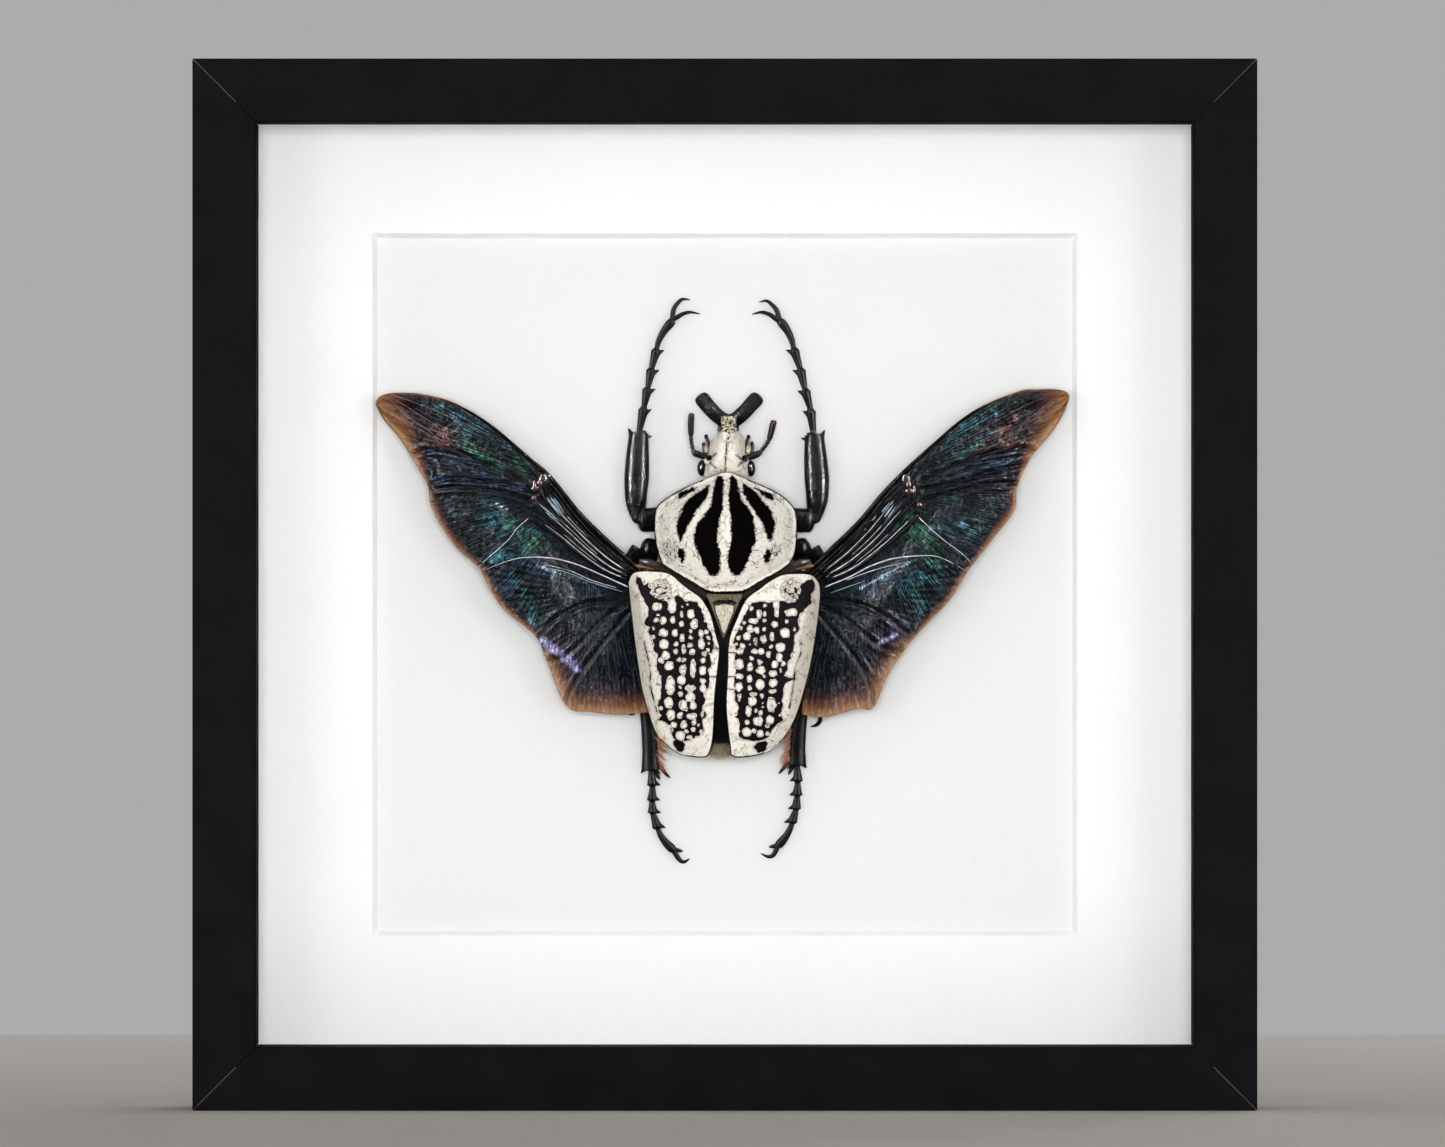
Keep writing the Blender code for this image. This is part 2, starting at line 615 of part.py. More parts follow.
def elytron_top(outline, x, z, share):
    """Height of a wing case: its rim is high along the suture and falls to the outer margin."""
    reach = max(outline.share(x, z), 0.05)
    rim_x, rim_z = outline.centre + (np.array((x, z)) - outline.centre) / reach
    rim = 20.4 - 7.4 * (abs(rim_x) / 22.0) ** 1.5 - 3.2 * max(0.0, (-30.0 - rim_z) / 9.0)
    return ELYTRON_CROWN - (ELYTRON_CROWN - rim) * share**2.4


def elytron_underside(outline, x, z, share):
    wall = ELYTRON_WALL * math.sqrt(max(0.0, 1 - share**2))
    return elytron_top(outline, x, z, share) - wall


def make_elytra():
    shell = finish("dotted cuticle", (0.62, 0.6, 0.55), 0.45)
    for name, side in (("elytron_left", -1), ("elytron_right", 1)):
        outline = elytron_outline(side)
        lens(
            name, outline, lambda x, z, s, o=outline: elytron_top(o, x, z, s),
            lambda x, z, s, o=outline: elytron_underside(o, x, z, s), rings=10, material=shell,
        )


def make_body():
    """Hind thorax and abdomen, clear of the wing cases above and hollowed for the pronotum."""
    covers = [elytron_outline(side) for side in (-1, 1)]
    half = BODY_HALF
    points = half + [(-x, z) for x, z in reversed(half)]
    outline = Outline(points, BODY_CENTRE)

    def top(x, z, share):
        free = BODY_CROWN - (BODY_CROWN - BODY_RIM) * share**3
        cover = min(elytron_underside(c, x, z, min(c.share(x, z), 1.0)) for c in covers)
        return min(free, cover - 2 * GAP)

    def bottom(x, z, share):
        return max(GAP, BODY_RIM - 1.4 * BODY_RIM * math.sqrt(1 - share**2))

    body = lens("beetle_body", outline, top, bottom, segments=24, rings=12,
                material=finish("black cuticle", (0.02, 0.018, 0.018), 0.35))
    soften(cut(body, make_pronotum("hollow", grow=2 * GAP)))


def make_scutellum():
    plate = prism("beetle_scutellum", SCUTELLUM, SCUTELLUM_THICKNESS)
    plate.data.transform(Matrix.Rotation(math.pi / 2, 4, "X"))
    plate.location = place(0, 0, SCUTELLUM_HEIGHT - SCUTELLUM_THICKNESS / 2)
    plate.data.materials.append(finish("olive cuticle", (0.3, 0.27, 0.18), 0.5))
    add_modifier(plate, "BEVEL", width=0.3 * MM, segments=1, limit_method="ANGLE")


def make_head():
    outline = Outline(HEAD, HEAD_CENTRE)
    capsule = lens(
        "capsule", outline, lambda x, z, s: HEAD_CROWN - (HEAD_CROWN - HEAD_RIM) * s**2.2,
        lambda x, z, s: HEAD_RIM - (HEAD_RIM - HEAD_UNDERSIDE) * math.sqrt(1 - s**2),
        segments=20, rings=8,
    )
    neck = ball(0.5, 28.2, 9.6, (4.2, 2.8, 2.2))
    eyes = [ball(x, z, 11.6, (1.35, 1.6, 1.9), segments=10) for x, z in EYES]
    arms = [tube(with_heights(arm, 14.6, 17.6), HORN_WIDTHS) for arm in (HORN_LEFT, HORN_RIGHT)]
    palps = [tube(with_heights(palp, 10.8, 9.6), (0.8, 0.75, 0.5), sides=6) for palp in PALPS]
    fuse("beetle_head", [capsule, neck, *eyes, *arms, *palps], finish("white cuticle", (0.66, 0.63, 0.57), 0.5))


def make_antennae():
    brown = finish("red brown cuticle", (0.03, 0.012, 0.01), 0.4)
    for name, points in (("antenna_left", ANTENNA_LEFT), ("antenna_right", ANTENNA_RIGHT)):
        antenna = tube(with_heights(points, 11.4, 14.0), ANTENNA_WIDTHS)
        antenna.name = name
        antenna.data.materials.append(brown)
        soften(antenna)


def along(line, share):
    """The point at a share of a line's length."""
    lengths = np.concatenate([[0], np.cumsum(np.hypot(*np.diff(line, axis=0).T))])
    at = share * lengths[-1]
    return np.array([np.interp(at, lengths, line[:, k]) for k in range(2)])


def wing_height(span, chord):
    """Height of a wing's sheet: it arches along the span and is folded lengthwise."""
    arch = WING_ARCH * math.sin(math.pi * min(1.0, 1.15 * span))
    fold = WING_FOLD * math.sin(2 * math.pi * WING_FOLDS * chord) * min(1.0, 4 * span)
    return WING_ROOT_HEIGHT + arch + fold


def make_wing(name, front, back, material):
    """A pleated sheet between two edges, with the thick ribs along its leading edge."""
    front, back = smooth_line(front), smooth_line(back)
    bm = bmesh.new()
    bmesh.ops.create_grid(bm, x_segments=WING_SPAN_STEPS, y_segments=WING_CHORD_STEPS, size=1.0)
    for vert in bm.verts:
        span, chord = (vert.co.x + 1) / 2, (vert.co.y + 1) / 2
        x, z = between(along(front, span), along(back, span), chord)
        vert.co = place(x, z, wing_height(span, chord))
    sheet = keep("sheet", bm)
    add_modifier(sheet, "SOLIDIFY", thickness=WING_THICKNESS * MM, offset=0.0)
    sheet = settle(sheet)
    ribs = []
    for chord in (0.03, 0.11):
        spans = np.linspace(0.02, HINGE_SPAN, len(RIB_WIDTHS))
        points = [
            (*between(along(front, s), along(back, s), chord), wing_height(s, chord) + 0.2) for s in spans
        ]
        ribs.append(tube(points, RIB_WIDTHS, sides=6))
    tip = [
        (*between(along(front, s), along(back, s), 0.02), wing_height(s, 0.02)) for s in np.linspace(0.43, 0.97, 6)
    ]
    ribs.append(tube(tip, taper(len(tip), 0.65, 0.4), sides=6))
    fuse(name, [sheet, *ribs], material)


def make_wings():
    membrane = finish("dark membrane", (0.012, 0.022, 0.035), 0.35)
    make_wing("hindwing_left", WING_LEFT_FRONT, WING_LEFT_BACK, membrane)
    make_wing("hindwing_right", WING_RIGHT_FRONT, WING_RIGHT_BACK, membrane)


def tarsus(joints, heights, side):
    """A chain of flared segments with a spine on the inner side of each, as a list of shapes."""
    joints = with_heights(joints, *heights)
    points, widths, spines = [joints[0]], [TARSUS_NARROW], []
    for a, b in zip(joints, joints[1:]):
        flare = between(a, b, 0.8)
        last = b is joints[-1]
        points += [flare, b]
        widths += [TARSUS_WIDE * (0.85 if last else 1.0), TARSUS_NARROW]
        if not last:
            root = between(a, b, 0.72)
            tip = (b[0] - side * SPINE_LENGTH, between(a, b, 0.95)[1], b[2])
            spines.append(tube([root, tip], (SPINE_WIDTH, CLAW_POINT), sides=6))
    return [tube(points, widths, sides=6), *spines]


def claw(points, height):
    return tube(with_heights(points, height, height - 0.6), taper(len(points), CLAW_WIDTH, CLAW_POINT), sides=6)


def make_front_leg(name, side, material):
    tip = FRONT_TARSUS_HEIGHTS[1]
    end = FRONT_TIBIA[side][-1]
    corner = tube(
        [(end[0] + side * 1.2, end[1] - 1.4, end[2]), (end[0] + side * 2.4, end[1] + 0.7, end[2])],
        (0.9, 0.2), sides=6,
    )
    spine = tube(
        [(end[0] - side * 1.6, end[1] - 1.2, end[2]), (end[0] - side * 3.2, end[1] - 0.9, end[2])],
        (0.6, 0.15), sides=6,
    )
    fuse(name, [
        tube(FRONT_TIBIA[side], FRONT_TIBIA_WIDTHS),
        tube(FRONT_FEMUR[side], FRONT_FEMUR_WIDTHS),
        corner, spine,
        *tarsus(FRONT_TARSUS[side], FRONT_TARSUS_HEIGHTS, side),
        *[claw(points, tip) for points in FRONT_CLAWS[side]],
    ], material)


def make_middle_leg(name, side, material):
    fuse(name, [
        tube(MIDDLE_LEG[side], MIDDLE_LEG_WIDTHS),
        *tarsus(MIDDLE_TARSUS[side], MIDDLE_TARSUS_HEIGHTS, -side),
        claw(MIDDLE_CLAW[side], MIDDLE_TARSUS_HEIGHTS[1]),
    ], material)


def make_hind_leg(name, side, material):
    fuse(name, [
        tube(HIND_TIBIA[side], HIND_TIBIA_WIDTHS),
        *[claw(spur, HIND_TARSUS_HEIGHTS[0]) for spur in HIND_SPURS[side]],
        *tarsus(HIND_TARSUS[side], HIND_TARSUS_HEIGHTS, side),
        *[claw(points, HIND_TARSUS_HEIGHTS[1]) for points in HIND_CLAWS[side]],
    ], material)


def make_legs():
    black = finish("glossy black cuticle", (0.008, 0.008, 0.009), 0.25)
    for word, side in (("left", -1), ("right", 1)):
        make_front_leg(f"front_leg_{word}", side, black)
        make_middle_leg(f"middle_leg_{word}", side, black)
        make_hind_leg(f"hind_leg_{word}", side, black)


clear_scene()
PART = collection("framed_goliath_beetle")
make_frame()
make_sheet("glass_pane", GLASS_FRONT, GLASS_THICKNESS, finish("clear glass", (0.9, 0.93, 0.92), 0.05))
make_spacers()
make_mat()
make_sheet("backing_board", BOARD_FRONT, BOARD_THICKNESS, finish("white board", (0.9, 0.9, 0.89), 0.85))
make_back()
make_pronotum(material=finish("striped cuticle", (0.64, 0.61, 0.55), 0.4))
make_elytra()
make_body()
make_scutellum()
make_head()
make_antennae()
make_wings()
make_legs()
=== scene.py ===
import math
from functools import partial

import bmesh
import bpy
import numpy as np
from bpy.props import FloatProperty, FloatVectorProperty, PointerProperty
from mathutils import Matrix, Vector, noise


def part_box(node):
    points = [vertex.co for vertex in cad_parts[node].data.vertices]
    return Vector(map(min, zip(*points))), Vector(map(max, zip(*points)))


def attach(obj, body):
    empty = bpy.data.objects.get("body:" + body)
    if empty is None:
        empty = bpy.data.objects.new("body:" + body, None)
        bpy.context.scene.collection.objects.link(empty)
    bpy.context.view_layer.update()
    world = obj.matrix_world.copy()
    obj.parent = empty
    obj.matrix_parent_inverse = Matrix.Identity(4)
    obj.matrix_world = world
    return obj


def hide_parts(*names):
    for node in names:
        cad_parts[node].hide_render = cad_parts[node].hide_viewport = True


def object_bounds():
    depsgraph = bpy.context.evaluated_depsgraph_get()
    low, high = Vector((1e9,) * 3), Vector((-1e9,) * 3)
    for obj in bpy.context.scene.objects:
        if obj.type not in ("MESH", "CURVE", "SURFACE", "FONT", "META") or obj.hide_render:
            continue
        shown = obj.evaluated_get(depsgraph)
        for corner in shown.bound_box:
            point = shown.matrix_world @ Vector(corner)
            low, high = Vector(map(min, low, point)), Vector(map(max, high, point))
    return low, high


# The looks of a spread goliath beetle in a black shadow box. Lengths are in millimetres where a name
# or comment says so, and in metres on objects. A point of the specimen is (x, z, h): x and z from its
# datum, the middle of the joint between pronotum and scutellum, and h above the backing board.
# Markings are drawn in tenths of a millimetre.

bl_info = {
    "name": "Framed goliath beetle",
    "version": (1, 0, 0),
    "blender": (4, 5, 0),
    "location": "3D View > Sidebar > Goliath",
    "description": "Dresses the shadow box and the spread beetle on its packed frame",
    "category": "Object",
}

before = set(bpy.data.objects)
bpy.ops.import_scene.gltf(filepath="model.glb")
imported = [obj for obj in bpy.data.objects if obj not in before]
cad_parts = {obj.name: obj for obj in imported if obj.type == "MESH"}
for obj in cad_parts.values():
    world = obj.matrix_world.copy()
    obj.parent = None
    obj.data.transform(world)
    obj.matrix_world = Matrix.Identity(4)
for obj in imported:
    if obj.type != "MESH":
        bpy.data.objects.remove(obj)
CAD_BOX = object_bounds()

MM = 0.001
MARK = 0.1  # one unit of the drawn markings, in millimetres
BODY = "root"
SIDES = {"left": -1, "right": 1}
SOFT = {"interpolation_type": "SMOOTHSTEP"}
TIMES = {"operation": "MULTIPLY"}
TIMES_PLUS = {"operation": "MULTIPLY_ADD"}

# Places taken from the frame, in millimetres
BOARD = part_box("backing_board")[0].y / MM
HALF_WIDTH = CAD_BOX[1].x / MM
HEIGHT = CAD_BOX[1].z / MM
FRONT = CAD_BOX[0].y / MM
BACK = CAD_BOX[1].y / MM
DATUM = 121.75
COVER_GAP = 0.6  # between the hind body and what covers it

# Camera: level with the middle of the frame, five metres before its face
CAMERA_X = -0.00055
CAMERA_Z = 0.1261
CAMERA_DISTANCE = 5.0
VIEW_WIDTH = 0.3392
SENSOR = 36.0

# Rails
FACE = 14.8
LIP = 4.0
WALL = 9.8
MITRE_GAP = 0.05
SHARP = math.radians(35)

# Skins that are grown together: cell size in millimetres, and rounds of smoothing
SKIN_VOXEL = 0.13
SKIN_ROUNDS = 3

# Pronotum, as in the frame, with the heights of its crown and of the middle of its underside
PRONOTUM = [
    (0.3, 28.3), (3.9, 27.2), (12.1, 23.6), (15.7, 20.7), (16.9, 18.3), (17.1, 14.2),
    (16.5, 9.0), (14.5, 5.9), (8.8, 2.6), (4.4, 0.2), (0.3, -0.1), (-3.8, 0.1), (-8.4, 2.6),
    (-13.9, 5.9), (-15.1, 7.3), (-16.2, 11.0), (-16.7, 15.5), (-16.2, 19.7), (-13.9, 22.0),
    (-9.1, 24.8), (-3.8, 27.0),
]
PRONOTUM_CENTRE = (0.3, 13.6)
PRONOTUM_CROWN, PRONOTUM_FLOOR = 24.5, 6.0

# Wing cases, as in the frame, with the height of the crown and the thickness of the wall
ELYTRON = {
    -1: [
        (-21.1, 4.7), (-22.6, 2.8), (-22.6, 0.0), (-21.2, -12.2), (-19.4, -23.5), (-16.6, -32.5),
        (-14.3, -35.5), (-11.3, -37.9), (-8.3, -38.8), (-4.5, -38.9), (-3.2, -36.8), (-2.6, -33.0),
        (-2.3, -25.3), (-1.5, -17.8), (-1.1, -13.3), (-1.9, -10.3), (-3.0, -5.8), (-4.5, -2.8),
        (-6.0, -0.9), (-9.8, 1.7), (-12.8, 4.2), (-16.6, 4.9),
    ],
    1: [
        (21.8, 2.8), (22.5, 0.6), (22.2, -4.7), (20.5, -15.9), (18.0, -25.7), (16.2, -30.6),
        (13.9, -34.4), (10.9, -37.4), (6.8, -38.7), (1.9, -38.8), (1.1, -35.9), (0.4, -30.2),
        (0.2, -25.3), (0.6, -17.8), (0.6, -14.1), (1.1, -10.3), (2.6, -6.5), (4.9, -1.7),
        (8.6, 1.2), (12.4, 3.6), (15.0, 4.3), (19.9, 4.2),
    ],
}
ELYTRON_CENTRE = (11.5, -16.0)
ELYTRON_CROWN, ELYTRON_WALL = 21.8, 1.1

# Fused to the body before the wing cases: furred skin, grey plates and orange skin. Each is a line of the
# right side, half widths at shares of it, and how many sides the bar has.
COLLAR_TRIMS = (
    ([(17.6, 5.6, 11.4), (13.5, 4.9, 13.4), (9.2, 1.9, 16.0), (5.8, -0.2, 17.5), (4.2, -1.4, 18.0)],
     (1.0, 1.4, 1.0), (0, 0.4, 1), 12),
    ([(20.2, 7.4, 11.4), (18.0, 6.9, 11.9), (15.0, 6.0, 12.4)], (0.3, 0.95, 0.8), (0, 0.5, 1), 14),
    ([(21.7, 6.4, 11.6), (19.4, 5.9, 12.4), (16.6, 5.3, 12.8)],
     (0.15, 0.42, 0.36, 0.2), (0, 0.3, 0.7, 1), 12),
)
# Strips of hair: name, line of the right side, hairs, scatter, direction, lengths, and how far they stray
FURS = (
    ("collar_fur", [(17.0, 5.8, 12.0), (13.2, 5.0, 14.4), (9.0, 2.0, 17.0), (5.4, -0.4, 18.3)],
     1100, (0.4, 0.5, 0.2), (-0.55, -0.6, 0.5), (0.9, 1.9), 0.35),
    ("flank_fringe", [(22.2, 0.0, 12.4), (20.9, -12.0, 13.2), (19.0, -23.5, 14.2), (16.4, -31.5, 14.4)],
     180, (0.1, 0.2, 0.1), (0.9, -0.4, 0.1), (0.2, 0.5), 0.3),
)
TIP_HAIRS = 1500

# Body and head, as in the frame
BODY_HALF = [
    (6.0, 5.0), (14.0, 5.8), (18.2, 5.0), (19.7, 2.0), (19.3, -8.0), (17.6, -18.0),
    (15.8, -26.0), (12.5, -32.5), (8.0, -36.6), (3.0, -38.4),
]
BODY_CENTRE = (0.0, -15.0)
HEAD = [
    (-4.9, 28.6), (-4.3, 30.6), (-3.8, 32.6), (-3.6, 34.4), (-2.9, 36.1), (-1.9, 37.5), (-1.6, 39.4),
    (-1.4, 41.2), (0.9, 41.4), (3.2, 41.2), (3.3, 39.4), (3.6, 37.5), (4.4, 36.1), (4.8, 34.4),
    (4.8, 32.6), (5.1, 30.6), (5.6, 28.6), (5.2, 27.0), (3.0, 26.7), (0.3, 26.6), (-2.4, 26.7),
    (-4.6, 27.0),
]
HEAD_CENTRE = (0.6, 33.2)
HEAD_RIM = 12.6
HEAD_UNDERSIDE = 9.4  # the head is black below this height
HORNS = [
    [(0.9, 39.9), (-0.6, 40.7), (-2.5, 42.2), (-4.3, 44.2), (-6.0, 46.4)],
    [(1.0, 39.9), (2.6, 40.7), (4.5, 42.3), (6.3, 44.3), (8.2, 46.3)],
]
HORN_PATCH = [(-13, 413), (32, 413), (32, 380), (14, 372), (-13, 380)]
HEAD_LINES = [
    [(11, 371), (7, 359), (4, 349), (3, 330), (1, 300), (1, 283)],
    [(-38, 311), (-21, 326)], [(-35, 305), (-21, 292)], [(43, 311), (28, 322)], [(41, 307), (32, 297)],
]
EYES = [(-5.4, 29.2), (6.1, 29.1)]
PALPS = {
    -1: [[(-3.7, 32.6), (-3.9, 35.0), (-4.5, 36.8)], [(-4.6, 32.4), (-4.9, 33.8), (-5.0, 34.8)]],
    1: [[(4.7, 32.6), (5.2, 35.0), (5.6, 36.7)], [(6.2, 32.8), (6.5, 34.0), (6.4, 35.0)]],
}
LOBES = [(-4.4, 33.5, 0.55, 1.0), (5.5, 33.5, 0.75, 1.25)]
SCUTELLUM = [
    (-4.3, -0.6), (-2.0, -0.5), (2.0, -0.5), (4.2, -0.6), (3.1, -3.2), (1.7, -6.4), (0.4, -9.6),
    (-0.3, -10.9), (-0.9, -9.6), (-2.1, -6.4), (-3.3, -3.2),
]
SCUTELLUM_CENTRE = (0.0, -3.6)
SCUTELLUM_TOP = 20.1
SCUTELLUM_MIDDLE = [(-24, -32), (22, -32), (12, -68), (-2, -102), (-14, -68)]
SCUTELLUM_BAR = [(-24, -26), (-12, -23), (14, -23), (23, -26)]
ANTENNAE = {
    -1: [(-3.9, 31.6), (-5.6, 32.2), (-7.2, 33.0), (-7.8, 34.9), (-8.0, 36.9), (-8.0, 39.9), (-7.8, 42.2)],
    1: [(4.6, 31.5), (6.4, 32.0), (8.1, 32.8), (9.4, 34.3), (10.5, 36.0), (11.1, 38.4), (11.6, 40.5)],
}

# Flight wings, as in the frame: leading and trailing edge, both from the body out to the tip
WING_FRONT = {
    -1: [
        (-18.8, 4.6), (-21.3, 6.9), (-28.3, 13.3), (-34.7, 19.7), (-40.6, 27.1), (-46.4, 32.2),
        (-55.0, 39.4), (-63.5, 44.5), (-71.5, 46.7), (-78.3, 46.9), (-81.3, 46.1), (-82.3, 44.8),
    ],
    1: [
        (19.0, 4.9), (22.3, 7.9), (26.1, 11.7), (32.5, 18.1), (38.3, 25.0), (47.4, 33.6), (58.1, 42.4),
        (68.8, 47.2), (74.1, 47.8), (77.8, 47.8), (80.3, 47.3), (81.3, 46.3),
    ],
}
WING_BACK = {
    -1: [
        (-18.0, -28.4), (-24.0, -28.9), (-31.5, -28.3), (-37.3, -26.8), (-42.2, -15.6), (-44.5, -10.6),
        (-51.8, -4.4), (-55.0, -0.1), (-58.2, 5.8), (-63.5, 10.6), (-68.9, 19.1), (-70.0, 24.8),
        (-71.5, 27.7), (-76.3, 35.7), (-80.6, 40.9), (-82.3, 44.2),
    ],
    1: [
        (18.2, -28.9), (23.4, -29.5), (31.4, -27.6), (35.1, -27.1), (38.9, -18.8), (44.7, -10.8),
        (52.8, -2.2), (57.6, 5.2), (63.4, 12.7), (68.2, 19.1), (69.0, 24.8), (72.0, 31.4),
        (76.8, 37.3), (79.8, 42.0), (81.2, 45.6),
    ],
}

# Height of the membrane at its root, and how far it arches above that
WING_LEVEL, WING_ARCH = 10.9, 3.2
WING_GRID = (290, 150)  # cells along the wing and across it
# Pleats in a radian of the fan, and lines of the combs in a radian and in a millimetre
FAN_PLEATS = 105
ROOT_COMB, HINGE_COMB = (64, 0.06), (56, 0.2)
# Bars along the leading edge: shares of its length, share of the chord, and half widths at even steps
EDGE_BARS = (
    (0.0, 0.45, 0.02, (0.75, 0.7, 0.65, 0.45)), (0.42, 0.8, 0.014, (0.5, 0.4, 0.25, 0.08)),
    (0.01, 0.43, 0.055, (0.5, 0.45, 0.4, 0.3)), (0.02, 0.4, 0.085, (0.4, 0.4, 0.35, 0.25)),
    (0.03, 0.38, 0.12, (0.35, 0.35, 0.3, 0.2)),
)
# Half widths of the first veins, and of the finer ones of each tip
VEIN_WIDTHS = (0.15, 0.09, 0.08)
TIP_VEIN = {-1: 0.06, 1: 0.035}

# Legs, as in the frame: points are (x, z, h)
FRONT_FEMUR = {-1: [(-13.4, 17.2, 5.5), (-20.7, 16.9, 6.0)], 1: [(13.8, 17.0, 5.5), (21.3, 16.8, 6.0)]}
FRONT_TIBIA = {
    -1: [(-19.7, 16.2, 6.2), (-20.7, 19.0, 6.0), (-21.0, 22.5, 5.8), (-20.8, 27.0, 5.6),
         (-20.6, 32.0, 5.4), (-20.3, 37.8, 5.2)],
    1: [(20.4, 16.2, 6.2), (21.4, 19.0, 6.0), (21.8, 22.5, 5.8), (21.7, 27.0, 5.6),
        (21.4, 32.0, 5.4), (21.1, 37.3, 5.2)],
}
# Shares of the tibia's length, half widths there, how flat it is, and how blunt its ends are
FRONT_TIBIA_SHAPE = (
    (0, 0.1, 0.25, 0.5, 0.72, 0.93, 1), (1.7, 1.8, 2.5, 2.95, 2.75, 2.35, 2.2), 0.75, (0.07, 0.012)
)
# Teeth at the end of a tibia: (x, z) steps away from it, outwards first, and half widths
FRONT_TEETH = (
    (((1.2, -2.0), (1.9, -0.3), (2.5, 0.9)), (1.0, 0.6, 0.1)),
    (((-1.2, -1.3), (-2.2, -1.2), (-3.1, -1.0)), (0.75, 0.45, 0.08)),
    (((-0.4, -0.6), (-1.2, 0.0), (-1.8, 0.2)), (0.7, 0.45, 0.08)),
)
HIND_TEETH = (
    (((0.9, 1.4), (1.6, 0.3), (2.3, -0.6)), (1.0, 0.6, 0.1)),
    (((-0.6, 0.6), (-1.5, 0.0), (-2.4, -0.9)), (0.7, 0.4, 0.06)),
)
# Shares of a foot joint's length and half widths there, for each joint and for the last one
CUP = ((-0.06, 0.1, 0.55, 0.86, 1.0), (0.55, 0.7, 0.95, 1.2, 0.7))
LAST_CUP = ((-0.06, 0.1, 0.55, 0.9, 1.0), (0.5, 0.62, 0.85, 1.1, 0.8))
FRONT_TARSUS = {
    -1: [(-20.3, 37.4), (-19.1, 43.7), (-18.2, 48.3), (-17.3, 52.8), (-16.1, 57.5), (-12.2, 64.2)],
    1: [(21.0, 36.8), (20.2, 43.3), (18.9, 47.9), (17.8, 52.8), (16.2, 57.6), (12.9, 64.2)],
}
FRONT_CLAWS = {
    -1: [[(-12.4, 64.6), (-12.1, 66.7), (-11.1, 68.3), (-9.9, 69.2), (-8.2, 69.0)],
         [(-12.4, 64.4), (-11.3, 64.9), (-9.9, 65.7), (-8.2, 66.1), (-5.9, 65.7)]],
    1: [[(12.9, 64.2), (12.3, 66.4), (11.1, 67.9), (9.8, 68.8), (8.2, 68.5)],
        [(12.9, 64.0), (11.8, 64.7), (10.5, 65.6), (8.6, 66.1), (6.4, 65.6)]],
}
MIDDLE_LEG = {
    -1: [(-15.6, 9.7, 5.4), (-20.0, 10.1, 5.8), (-22.8, 6.6, 5.6), (-23.9, -1.0, 5.4),
         (-23.6, -9.0, 5.2), (-23.4, -17.0, 5.0)],
    1: [(15.8, 9.7, 5.4), (20.4, 10.1, 5.8), (23.0, 6.6, 5.6), (24.0, -1.0, 5.4),
        (23.6, -9.0, 5.2), (23.2, -16.0, 5.0)],
}
MIDDLE_TARSUS = {
    -1: [(-23.4, -16.8), (-23.2, -20.0), (-22.8, -23.0), (-22.4, -26.5)],
    1: [(23.2, -15.8), (22.9, -19.4), (22.4, -22.8), (21.7, -26.8)],
}
MIDDLE_CLAW = {
    -1: [[(-22.4, -26.3), (-22.8, -28.0), (-22.2, -28.8), (-21.2, -28.9)]],
    1: [[(21.7, -26.6), (22.6, -29.9), (21.7, -31.4), (20.2, -31.8)]],
}
HIND_TIBIA = {
    -1: [(-19.6, -14.0, 6.0), (-19.6, -22.0, 6.0), (-18.3, -28.4, 5.8), (-17.8, -34.0, 5.4),
         (-17.5, -42.2, 4.8)],
    1: [(19.8, -14.0, 6.0), (19.6, -22.0, 6.0), (17.9, -28.4, 5.8), (17.3, -34.0, 5.4),
        (17.0, -41.0, 4.8)],
}
HIND_TARSUS = {
    -1: [(-17.4, -41.9), (-17.1, -46.0), (-17.2, -49.5), (-17.0, -52.4), (-15.8, -56.0), (-12.0, -61.1)],
    1: [(17.1, -40.8), (17.2, -45.0), (17.1, -48.3), (16.8, -51.5), (15.8, -54.7), (12.4, -60.1)],
}
HIND_SPURS = {
    -1: [[(-16.3, -40.0), (-14.6, -42.2), (-12.9, -44.0)], [(-16.9, -41.2), (-16.0, -43.2), (-15.3, -44.3)]],
    1: [[(15.8, -38.9), (14.2, -41.2), (12.7, -43.0)], [(16.5, -40.0), (15.6, -42.0), (15.0, -43.2)]],
}
HIND_CLAWS = {
    -1: [[(-12.2, -60.9), (-10.8, -63.2), (-9.6, -63.8), (-8.3, -63.0)], [(-12.0, -60.9), (-9.9, -61.3)]],
    1: [[(12.5, -60.0), (11.6, -62.0), (10.3, -62.6), (8.5, -61.8)], [(12.3, -60.0), (10.4, -60.3)]],
}

